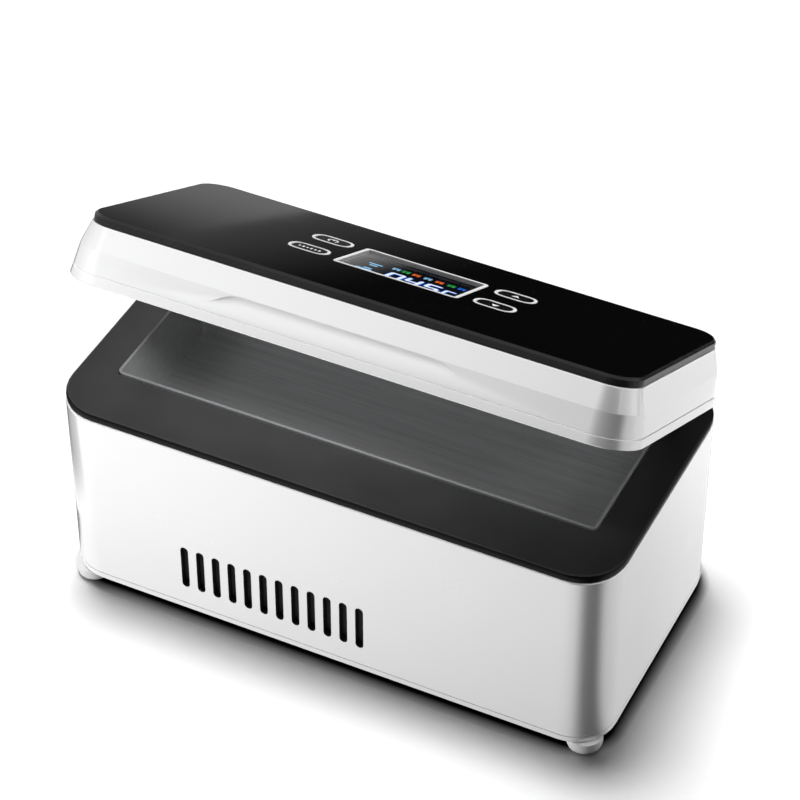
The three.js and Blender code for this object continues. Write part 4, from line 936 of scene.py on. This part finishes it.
@dataclass
class Chamber:
    """Deck, liner, insulation and sensor."""

    rim_highlight_depth: float = 0.4

    def build(self) -> None:
        """Models and dresses the pieces round the chamber."""
        deck = smooth_copy("deck_plate", "case_deck", DECK_BLACK)
        # The deck's sides and bevels take the painted shade.
        repaint(deck, DECK_EDGE_SHADE, lambda face: face.normal.z < FACING)
        liner = smooth_copy("chamber_liner", "case_liner", LINER)
        # Faces near the top of the rim take the painted highlight.
        rim = max(vertex.co.z for vertex in liner.data.vertices) - self.rim_highlight_depth * MM
        repaint(liner, LINER_RIM_HIGHLIGHT, lambda face: face.center.z > rim)
        dress_node("insulation_jacket", FOAM)
        dress_node("temperature_sensor", STEEL)


@dataclass
class Works:
    """Cooling stage, fan, battery pack and main board inside the case."""

    finishes: tuple[tuple[str, Finish], ...] = (
        ("cold_block", ALUMINIUM),
        ("peltier_module", CERAMIC),
        ("heat_sink", ANODISED),
        ("fan_frame", DECK_BLACK),
        ("fan_rotor", DECK_BLACK),
        ("battery_pack", SLEEVE),
        ("main_board", BOARD),
        ("power_inlet", DECK_BLACK),
        ("base_magnet_left", STEEL),
        ("base_magnet_right", STEEL),
    )

    def build(self) -> None:
        """Dresses the pieces inside the case."""
        for node, finish in self.finishes:
            dress_node(node, finish)


@dataclass
class Lid:
    """Lid with its plate, gasket, insulation, magnets and hinges."""

    band_break: float = 11.6

    def build(self) -> None:
        """Models and dresses the lid's pieces."""
        smooth_copy("lid_shell", "lid_cover", WHITE, crease=self.band_break)
        smooth_copy("lid_plate", "lid_inner_plate", WHITE)
        dress_node("lid_gasket", GASKET)
        dress_node("lid_insulation", FOAM)
        for side in ("left", "right"):
            smooth_copy(f"hinge_bracket_{side}", f"hinge_leaf_{side}", DECK_BLACK)
            dress_node(f"hinge_pin_{side}", STEEL)
            dress_node(f"lid_magnet_{side}", STEEL)


@dataclass(frozen=True)
class LidPlace:
    """Where the open lid is; its own frame is that of the closed lid.

    In that frame X and Y start at the middle of the lid and Z at its lower edge.
    """

    opening: float = radians(28.3)
    axis_back: float = 49.4
    axis_rise: float = 3.6
    hinge: Point = (0.0, 47.3812, 89.7)

    @property
    def matrix(self) -> Matrix:
        """Moves metres in the closed lid's frame to the open lid's place.

        Returns:
            The matrix of that move.
        """
        to_axis = Matrix.Translation(metres((0.0, -self.axis_back, -self.axis_rise)))
        turn = Matrix.Rotation(-self.opening, 4, "X")
        return Matrix.Translation(metres(self.hinge)) @ turn @ to_axis


LID_PLACE = LidPlace()


class Sign(Enum):
    """What a key shows."""

    POWER = "power"
    MODE = "mode"
    UP = "up"
    DOWN = "down"


class Bar(Enum):
    """Bars of a digit: place of the middle as a share of the digit, and if it is upright."""

    TOP = (0.0, 0.5, False)
    MIDDLE = (0.0, 0.0, False)
    BOTTOM = (0.0, -0.5, False)
    BACK_LEFT = (-0.5, 0.25, True)
    BACK_RIGHT = (0.5, 0.25, True)
    FRONT_LEFT = (-0.5, -0.25, True)
    FRONT_RIGHT = (0.5, -0.25, True)


DIGITS: dict[str, tuple[Bar, ...]] = {
    "0": (Bar.TOP, Bar.BOTTOM, Bar.BACK_LEFT, Bar.BACK_RIGHT, Bar.FRONT_LEFT, Bar.FRONT_RIGHT),
    "4": (Bar.MIDDLE, Bar.BACK_LEFT, Bar.BACK_RIGHT, Bar.FRONT_RIGHT),
    "5": (Bar.TOP, Bar.MIDDLE, Bar.BOTTOM, Bar.BACK_LEFT, Bar.FRONT_RIGHT),
    "C": (Bar.TOP, Bar.BOTTOM, Bar.BACK_LEFT, Bar.FRONT_LEFT),
}


class Tint(Enum):
    """Colours of the display's signs."""

    WHITE = (0.85, 0.92, 1.0)
    BLUE = (0.02, 0.16, 0.75)
    PALE = (0.3, 0.6, 0.9)
    GREEN = (0.03, 0.4, 0.08)
    RED = (0.85, 0.16, 0.03)


@dataclass(frozen=True)
class Dot:
    """A small flat sign: its middle, size, radius of its corners and their faces."""

    middle: Pair
    size: Pair
    corner: float
    steps: int = 2

    def lay(self, base: Point, thickness: float) -> Piece:
        """Models the sign, with its middle measured from a point at its underside."""
        centre = (base[0] + self.middle[0], base[1] + self.middle[1], base[2])
        return plate(self.size, centre, thickness, self.corner, self.steps)


@dataclass
class Display:
    """Window, frame and the image behind the window."""

    face: Dot = Dot((0.0, 3.2), (44.6, 29.0), 0.6)
    level: float = 21.63
    layer: float = 0.06
    stroke: float = 1.25
    outline: float = 0.4
    digit: Pair = (4.4, 8.6)
    bar_gap: float = 0.1
    bar_overlap: float = 0.7
    bar_corner: float = 0.42
    bar_thickness: float = 0.9
    digits: tuple[tuple[str, float, float, float], ...] = (
        ("0", -3.4, -3.3, 1.0),
        ("4", 3.4, -3.3, 1.0),
        ("5", 10.6, -3.3, 1.0),
        ("C", 17.2, -3.9, 0.72),
    )
    icon_row: float = 7.3
    icons: tuple[tuple[Tint, float], ...] = (
        (Tint.PALE, -7.1), (Tint.GREEN, -3.4), (Tint.RED, 0.5), (Tint.PALE, 4.9),
        (Tint.RED, 9.3), (Tint.GREEN, 13.8), (Tint.BLUE, 17.8),
    )
    icon: tuple[Dot, ...] = (
        Dot((0.0, 1.0), (3.0, 0.8), 0.3),
        Dot((-0.7, -0.6), (1.2, 1.6), 0.5),
        Dot((0.9, -0.6), (1.2, 1.6), 0.5),
    )
    side_signs: tuple[Dot, ...] = (
        Dot((-14.2, 5.6), (5.2, 1.2), 0.5),
        Dot((-14.0, 3.0), (3.0, 1.4), 0.5),
        Dot((-14.6, -5.4), (6.4, 2.6), 1.0),
        Dot((-13.8, -2.6), (3.2, 1.2), 0.5),
    )
    image: DisplayImage = DisplayImage(
        "display_image", "display_face", (0.003, 0.0035, 0.006), 0.5,
        ior=1.0, turn=LID_PLACE.opening,
    )

    def build(self) -> None:
        """Models the image and dresses the window, its frame and the boards."""
        face = self.face.lay((0.0, 0.0, self.level), self.layer)
        add(join([face], "display_image", LID_PLACE.matrix), "lid", self.image)
        self.light("display_digit_edges", Tint.BLUE, self.figures(self.outline, layer=1))
        self.light("display_digits", Tint.WHITE, self.figures(0.0, layer=2))
        for tint in (Tint.PALE, Tint.GREEN, Tint.RED, Tint.BLUE):
            self.light(f"display_icons_{tint.name.lower()}", tint, self.marks(tint))
        dress_node("display_window", WINDOW)
        dress_node("lcd_module", DECK_BLACK)
        dress_node("control_board", BOARD)
        dress_node("display_frame", INLAY)

    def light(self, name: str, tint: Tint, pieces: list[Piece]) -> None:
        """Joins lit signs into one piece.

        Args:
            name: Name of the piece.
            tint: Its colour.
            pieces: The signs in the closed lid's frame.
        """
        finish = Glow(
            f"display_{tint.name.lower()}_light", "display_face", tint.value, 0.5, ior=1.0,
        )
        add(join(pieces, name, LID_PLACE.matrix), "lid", finish)

    def figures(self, grow: float, layer: int) -> list[Piece]:
        """Models the digits' bars.

        Args:
            grow: How much wider than its stroke each bar is on every side.
            layer: Number of the layer above the display's face.

        Returns:
            The bars.
        """
        bars = []
        for figure, east, north, scale in self.digits:
            width, height, stroke = (side * scale for side in (*self.digit, self.stroke))
            for bar in DIGITS[figure]:
                across, along, upright = bar.value
                reach = (height / 2 if upright else width) - self.bar_gap
                size = (stroke + 2 * grow, reach + stroke * self.bar_overlap + 2 * grow)
                place = (across * width, along * height)
                size, corner = size if upright else size[::-1], min(size) * self.bar_corner
                dot = Dot(place, size, corner, steps=1)
                base = (east, north, self.level + self.layer * layer)
                bars.append(dot.lay(base, self.layer * self.bar_thickness))
        return bars

    def marks(self, tint: Tint) -> list[Piece]:
        """Models the small signs of one colour behind and beside the digits.

        Args:
            tint: The colour.

        Returns:
            The signs.
        """
        level = self.level + self.layer
        bases = [(east, self.icon_row, level) for kind, east in self.icons if kind is tint]
        signs = [dot.lay(base, self.layer) for base in bases for dot in self.icon]
        if tint is Tint.PALE:
            signs += [dot.lay((0.0, 0.0, level), self.layer) for dot in self.side_signs]
        return signs


@dataclass
class Controls:
    """Top panel, keys and the signs on the keys."""

    key_column: float = 35.1
    key_rows: Pair = (-5.65, 14.45)
    cap_top: float = 23.1
    print_height: float = 0.05
    mode_bars: tuple[float, ...] = (1.3, 1.8, 1.3, 1.8, 1.3, 1.8)
    mode_width: float = 0.75
    mode_pitch: float = 1.5
    bar_corner: float = 0.2
    sign_radius: float = 1.7
    triangle_corner: float = 0.25
    corner_steps: int = 2
    arc_width: float = 0.6
    arc_steps: int = 20
    arc_sweep: float = 290.0
    arc_turn: float = 125.0
    stem: Dot = Dot((0.0, 0.9), (0.6, 1.9), 0.2)
    signs: tuple[tuple[str, Sign], ...] = (
        ("front_left", Sign.MODE),
        ("back_left", Sign.POWER),
        ("front_right", Sign.DOWN),
        ("back_right", Sign.UP),
    )

    def build(self) -> None:
        """Models the signs and dresses the panel and the keys."""
        panel = smooth_copy("top_panel", "lid_top_panel", PANEL_BLACK)
        upward = LID_PLACE.matrix.to_3x3() @ Vector((0.0, 0.0, 1.0))
        # Faces that do not look up take the painted sheen of the edge.
        repaint(panel, PANEL_EDGE_SHEEN, lambda face: face.normal.dot(upward) < FACING)
        for place, sign in self.signs:
            smooth_copy(f"key_cap_{place}", f"key_button_{place}", CAP_BLACK)
            dress_node(f"key_ring_{place}", INLAY)
            east = self.key_column * (1 if "right" in place else -1)
            north = self.key_rows[0 if "front" in place else 1]
            pieces = self.sign(sign, (east, north, self.cap_top))
            printed = join(pieces, f"key_sign_{place}", LID_PLACE.matrix)
            add(printed, f"key_{place}", INLAY)

    def sign(self, sign: Sign, middle: Point) -> list[Piece]:
        """Models a key's sign.

        Args:
            sign: Which sign.
            middle: Middle of the cap's top in millimetres.

        Returns:
            The sign's pieces.
        """
        if sign is Sign.POWER:
            return [self.arc(middle), self.stem.lay(middle, self.print_height)]
        if sign is not Sign.MODE:
            return [self.triangle(middle, 0.0 if sign is Sign.UP else pi)]
        first = -self.mode_pitch * (len(self.mode_bars) - 1) / 2
        bars = [
            Dot((first + step * self.mode_pitch, 0.0), (self.mode_width, depth), self.bar_corner)
            for step, depth in enumerate(self.mode_bars)
        ]
        return [bar.lay(middle, self.print_height) for bar in bars]

    def triangle(self, middle: Point, turn: float) -> Piece:
        """Models a triangle with round corners.

        Args:
            middle: Its middle in millimetres.
            turn: Its turn about Z in radians; without one it points back.

        Returns:
            The triangle.
        """
        deselect()
        bpy.ops.mesh.primitive_circle_add(
            vertices=3, radius=self.sign_radius * MM, fill_type="NGON",
            location=metres(middle), rotation=(0.0, 0.0, turn),
        )
        with editing() as piece:
            corner = self.triangle_corner * MM
            bpy.ops.mesh.bevel(offset=corner, segments=self.corner_steps, affect="VERTICES")
            thicken(self.print_height)
        return piece

    def arc(self, middle: Point) -> Piece:
        """Models the open ring of the power sign, by spinning an edge.

        Args:
            middle: Its middle in millimetres.

        Returns:
            The ring.
        """
        deselect()
        centre = metres(middle)
        start = centre + metres((self.sign_radius, 0.0, 0.0))
        bpy.ops.mesh.primitive_plane_add(size=self.arc_width * MM, location=start)
        with editing() as piece:
            bpy.ops.mesh.delete(type="ONLY_FACE")
            mesh = bmesh.from_edit_mesh(piece.data)
            front = [vertex for vertex in mesh.verts if vertex.co.y < 0]
            bmesh.ops.delete(mesh, geom=front, context="VERTS")
            bmesh.update_edit_mesh(piece.data)
            bpy.ops.mesh.select_all(action="SELECT")
            bpy.ops.mesh.spin(
                steps=self.arc_steps, angle=radians(self.arc_sweep), center=centre,
                axis=(0.0, 0.0, 1.0),
            )
            thicken(self.print_height)
            bpy.ops.transform.rotate(
                value=radians(self.arc_turn), orient_axis="Z", center_override=centre,
            )
        return piece


# Studio


class Lit(Enum):
    """What a lamp lights."""

    CASE = "case"
    DECK = "deck"
    LINER = "liner"
    FLOOR = "floor"


@dataclass(frozen=True)
class Lamp:
    """A soft lamp aimed at the case; its distance and size are in metres.

    Level is how bright it alone makes a white face that looks at it, 1 being white.
    A lamp with a cone is a spot that fades towards the cone's edge.
    """

    name: str
    azimuth: float
    elevation: float
    distance: float
    size: float
    level: float
    lit: Lit = Lit.CASE
    target: Point = (0, 0, 60)
    cone: float = 0.0
    cone_gain: float = 4.0

    def place(self, receivers: dict[Lit, bpy.types.Collection]) -> None:
        """Adds the lamp.

        Args:
            receivers: For each thing to light, the collection that picks it out.
        """
        turn, rise = radians(self.azimuth), radians(self.elevation)
        flat = Vector((cos(turn), sin(turn), 0.0)) * cos(rise)
        way = flat + Vector((0.0, 0.0, sin(rise)))
        data = bpy.data.lights.new(self.name, "SPOT" if self.cone else "AREA")
        data.energy = self.level * (pi * self.distance) ** 2
        if self.cone:
            data.energy *= self.cone_gain
            data.shadow_soft_size = self.size / 2
            data.spot_size, data.spot_blend = radians(self.cone), 1.0
        else:
            data.shape, data.size = "DISK", self.size
        lamp = bpy.data.objects.new(self.name, data)
        lamp.location = metres(self.target) + way * self.distance
        lamp.rotation_euler = (-way).to_track_quat("-Z", "Y").to_euler()
        lamp.visible_camera = lamp.visible_glossy = False
        lamp.light_linking.receiver_collection = receivers[self.lit]
        bpy.context.scene.collection.objects.link(lamp)


@dataclass(frozen=True)
class Footprint:
    """The case's outline on the floor."""

    half: Pair = (106.0, 53.3)
    corner: float = 15.7

    @property
    def centre(self) -> Pair:
        """Middle of the round corner at the back right."""
        return tuple(side - self.corner for side in self.half)

    def away(self, sheet: Sheet) -> Signal:
        """Distance from the outline in metres, below zero under the case.

        Args:
            sheet: The node tree of a thing on the floor.

        Returns:
            The distance.
        """
        across, along = (
            (way.magnitude() - middle * MM).largest(0.0)
            for way, middle in zip(sheet.axes(), self.centre)
        )
        return (across * across + along * along).root() - self.corner * MM


FOOTPRINT = Footprint()


@dataclass(frozen=True)
class Streak:
    """A dark streak of a ground card that runs out from a front corner of the case.

    Side is 1 at the right and -1 at the left. The streak is black up to the first of its
    angles to either side of its azimuth and ends at the second, all in degrees.
    """

    side: int
    azimuth: float
    angles: Pair

    def light(self, sheet: Sheet) -> Signal:
        """How much of the card's light is left beside the streak.

        Args:
            sheet: The card's node tree.

        Returns:
            The share of the light.
        """
        east, north, _ = sheet.axes()
        middle, turn = metres(FOOTPRINT.centre), radians(self.azimuth)
        across, along = east - self.side * middle.x, north + middle.y
        ahead = across * cos(turn) + along * sin(turn)
        aside = along * cos(turn) - across * sin(turn)
        return aside.angle_over(ahead).magnitude().spread(*map(radians, self.angles))


RIGHT_STREAK = Streak(1, -44, (8, 40))
LEFT_STREAK = Streak(-1, 172, (8, 30))


@dataclass(frozen=True)
class Card:
    """A studio card that only mirrors see, graded from a low to a high level.

    Low and high are the (X, Y) points in millimetres between which the grading runs. A
    card with streaks is also darker round the case's walls: contact is the share of its
    light at them, and rise tells from how near to how far from them it comes back.
    """

    name: str
    middle: Point
    size: Pair
    levels: Pair
    low: Pair
    high: Pair
    upright: bool = False
    turn: float = 0.0
    streaks: tuple[Streak, ...] = ()
    # Share of the card's light left at the walls, where it holds a painted shadow seen only in
    # mirrors.
    painted_contact_share: float = 0.8
    rise: Pair = (-4.0, 80.0)

    def place(self) -> None:
        """Adds the card."""
        deselect()
        turn = (pi / 2 if self.upright else 0.0, 0.0, radians(self.turn))
        bpy.ops.mesh.primitive_plane_add(size=MM, location=metres(self.middle), rotation=turn)
        card = bpy.context.object
        card.scale = (*self.size, 1.0)
        settle(card, self.name)
        paint = bpy.data.materials.new(f"{self.name}_paint")
        sheet = Sheet(paint, "Emission")
        sheet.set(color=PURE_WHITE, strength=self.glow(sheet))
        card.data.materials.append(paint)
        card.visible_camera = card.visible_diffuse = card.visible_shadow = False

    def glow(self, sheet: Sheet) -> Signal:
        """How bright each point of the card is.

        Args:
            sheet: The card's node tree.

        Returns:
            The strength of its light.
        """
        low, way = metres(self.low), metres(self.high) - metres(self.low)
        east, north, _ = sheet.axes()
        run = (east * way.x + north * way.y - low.dot(way)).spread(0.0, way.length_squared)
        light = run * (self.levels[1] - self.levels[0]) + self.levels[0]
        if self.streaks:
            # Painted shadow where the case meets the floor: the card's light dims round the case's
            # walls.
            clear = FOOTPRINT.away(sheet).spread(*metres(self.rise))
            light = light * (clear * (1 - self.painted_contact_share) + self.painted_contact_share)
        for streak in self.streaks:
            light = light * streak.light(sheet)
        return light


@dataclass
class Studio:
    """Camera, floor, surroundings, lamps and cards."""

    camera_place: Point = (359.445, -731.019, 806.576)
    camera_turn: Point = (48.395, 0.0278, 25.9404)
    lens: float = 140.361
    sensor: float = 36.0
    floor_size: float = 8.0
    floor_seen: float = 1.08
    floor_bounce: float = 0.35
    # Painted shadow on the floor: black at the first distance from the case's outline, gone at the
    # second, in millimetres.
    painted_contact_shadow: Pair = (-2.2, 4.2)
    ambient: float = 0.06
    lamps: tuple[Lamp, ...] = (
        Lamp("floor_lamp", 134, 80, 2.4, 0.78, 1.0, Lit.FLOOR),
        Lamp("top_lamp", 160, 55, 2.4, 1.2, 0.9),
        Lamp("front_left_lamp", -130, 12, 0.6, 0.3, 1.04),
        Lamp("right_lamp", 22, 32, 0.9, 0.5, 0.33),
        Lamp("back_right_lamp", 42, 16, 0.4, 0.25, 0.42),
        Lamp("deck_lamp", -150, 52, 0.7, 0.1, 2.1, Lit.DECK, (-25, 5, 86), 17),
        Lamp("chamber_lamp", -25, 38, 0.6, 0.1, 1.0, Lit.LINER, (-80, -15, 75), 24),
        Lamp("rim_lamp", -64, 30, 0.9, 0.2, 0.14, Lit.LINER),
    )
    cards: tuple[Card, ...] = (
        Card(
            "ground_card", (60, -60, 0.6), (800, 600), (0.78, 1.06), (120, 0), (-120, 0),
            streaks=(RIGHT_STREAK, LEFT_STREAK),
        ),
        Card(
            "side_ground_card", (129, 60, 0.9), (46, 240), (0.78, 1.14), (106, -30),
            (65.5, -10.3), streaks=(RIGHT_STREAK,),
        ),
        Card(
            "front_wall_card", (200, -600, 260), (2200, 520), (0, 0.5), (260, 0), (-200, 0), True,
        ),
        Card(
            "upper_wall_card", (200, -600, 810), (2200, 580), (0, 0.84), (260, 0), (-350, 0), True,
        ),
        Card("left_ground_card", (-295, 70, 0.9), (330, 300), (0.05, 1), (-165, 0), (-130, 0)),
        Card("left_floor_card", (-720, -150, 0.5), (520, 900), (0.25, 0.35), (-900, 0), (-460, 0)),
        Card(
            "left_wall_card", (-980, -150, 450), (900, 900), (0.2, 0.5), (-980, 300),
            (-980, -600), True, 90,
        ),
        Card("front_floor_card", (880, -360, 0.6), (840, 600), (0.04, 0.7), (0, -420), (0, -120)),
        Card(
            "right_wall_card", (1300, -250, 450), (700, 900), (0, 0.75), (0, -640), (0, -180),
            True, 90,
        ),
        Card(
            "back_floor_card", (-250, 600, 0.6), (1500, 600), (0.004, 0.15), (-176, 520),
            (-245, 455),
        ),
        Card(
            "window_card", (-484.5, 366, 1.2), (500, 600), (0.04, 0.46), (0, 640), (0, 440),
            turn=43.4,
        ),
        Card(
            "back_wall_card", (-250, 950, 900), (1800, 1800), (0, 0.3), (-200, 950), (-560, 950),
            True,
        ),
    )

    def build(self) -> None:
        """Sets up the studio."""
        self.place_camera()
        self.light_world()
        lit = {
            Lit.DECK: bpy.data.objects["case_deck"],
            Lit.LINER: bpy.data.objects["case_liner"],
            Lit.FLOOR: self.lay_floor(),
        }
        receivers = {kind: self.receivers(kind, "INCLUDE", piece) for kind, piece in lit.items()}
        receivers[Lit.CASE] = self.receivers(Lit.CASE, "EXCLUDE", *lit.values())
        for lamp in self.lamps:
            lamp.place(receivers)
        for card in self.cards:
            card.place()

    def receivers(self, lit: Lit, state: str, *pieces: Piece) -> bpy.types.Collection:
        """Collects what a lamp lights or leaves out.

        Args:
            lit: What the lamp lights.
            state: INCLUDE to light the pieces, EXCLUDE to leave them out.
            pieces: The pieces.

        Returns:
            The collection for the lamp.
        """
        chosen = bpy.data.collections.new(f"{lit.value}_receivers")
        for piece in pieces:
            chosen.objects.link(piece)
        for entry in chosen.collection_objects:
            entry.light_linking.link_state = state
        return chosen

    def place_camera(self) -> None:
        """Adds the camera of the main view."""
        data = bpy.data.cameras.new("main_camera")
        data.lens, data.sensor_width = self.lens, self.sensor
        camera = bpy.data.objects.new("main_camera", data)
        camera.location = metres(self.camera_place)
        camera.rotation_euler = tuple(map(radians, self.camera_turn))
        bpy.context.scene.collection.objects.link(camera)
        bpy.context.scene.camera = camera

    def lay_floor(self) -> Piece:
        """Adds the pale floor, white to the eye but keeping the shadow, with a painted contact
        shadow.

        Returns:
            The floor.
        """
        deselect()
        bpy.ops.mesh.primitive_plane_add(size=self.floor_size)
        floor = settle(bpy.context.object, "studio_floor")
        paper = bpy.data.materials.new("floor_paper")
        sheet = Sheet(paper, "BsdfDiffuse")
        rays = sheet.node("LightPath").outputs
        seen = Signal(sheet, rays["Is Camera Ray"])
        for kind in ("Is Glossy Ray", "Is Transmission Ray"):
            seen = seen.largest(Signal(sheet, rays[kind]))
        # Painted contact shadow: the floor's colour runs from black under the case to white just
        # outside it.
        clear = FOOTPRINT.away(sheet).spread(*metres(self.painted_contact_shadow))
        lit = sheet.blend(clear, PURE_BLACK, (self.floor_seen,) * 3)
        sheet.set(color=sheet.blend(seen, (self.floor_bounce,) * 3, lit))
        floor.data.materials.append(paper)
        return floor

    def light_world(self) -> None:
        """Makes the surroundings white to the eye and dim as a light."""
        world = bpy.data.worlds.new("studio_world")
        bpy.context.scene.world = world
        sheet = Sheet(world, "Background")
        diffuse = sheet.signal("LightPath", output="Is Diffuse Ray")
        sheet.set(color=PURE_WHITE, strength=1 - diffuse * (1 - self.ambient))


def main() -> None:
    """Builds the sub-assemblies in order and sets up the studio."""
    logging.basicConfig(level=logging.INFO, format="%(name)s: %(message)s")
    bpy.context.scene.view_settings.view_transform = "Standard"
    for assembly in (Housing(), Chamber(), Works(), Lid(), Controls(), Display(), Studio()):
        LOG.info("%s", type(assembly).__name__)
        assembly.build()


if __name__ == "__main__":
    main()
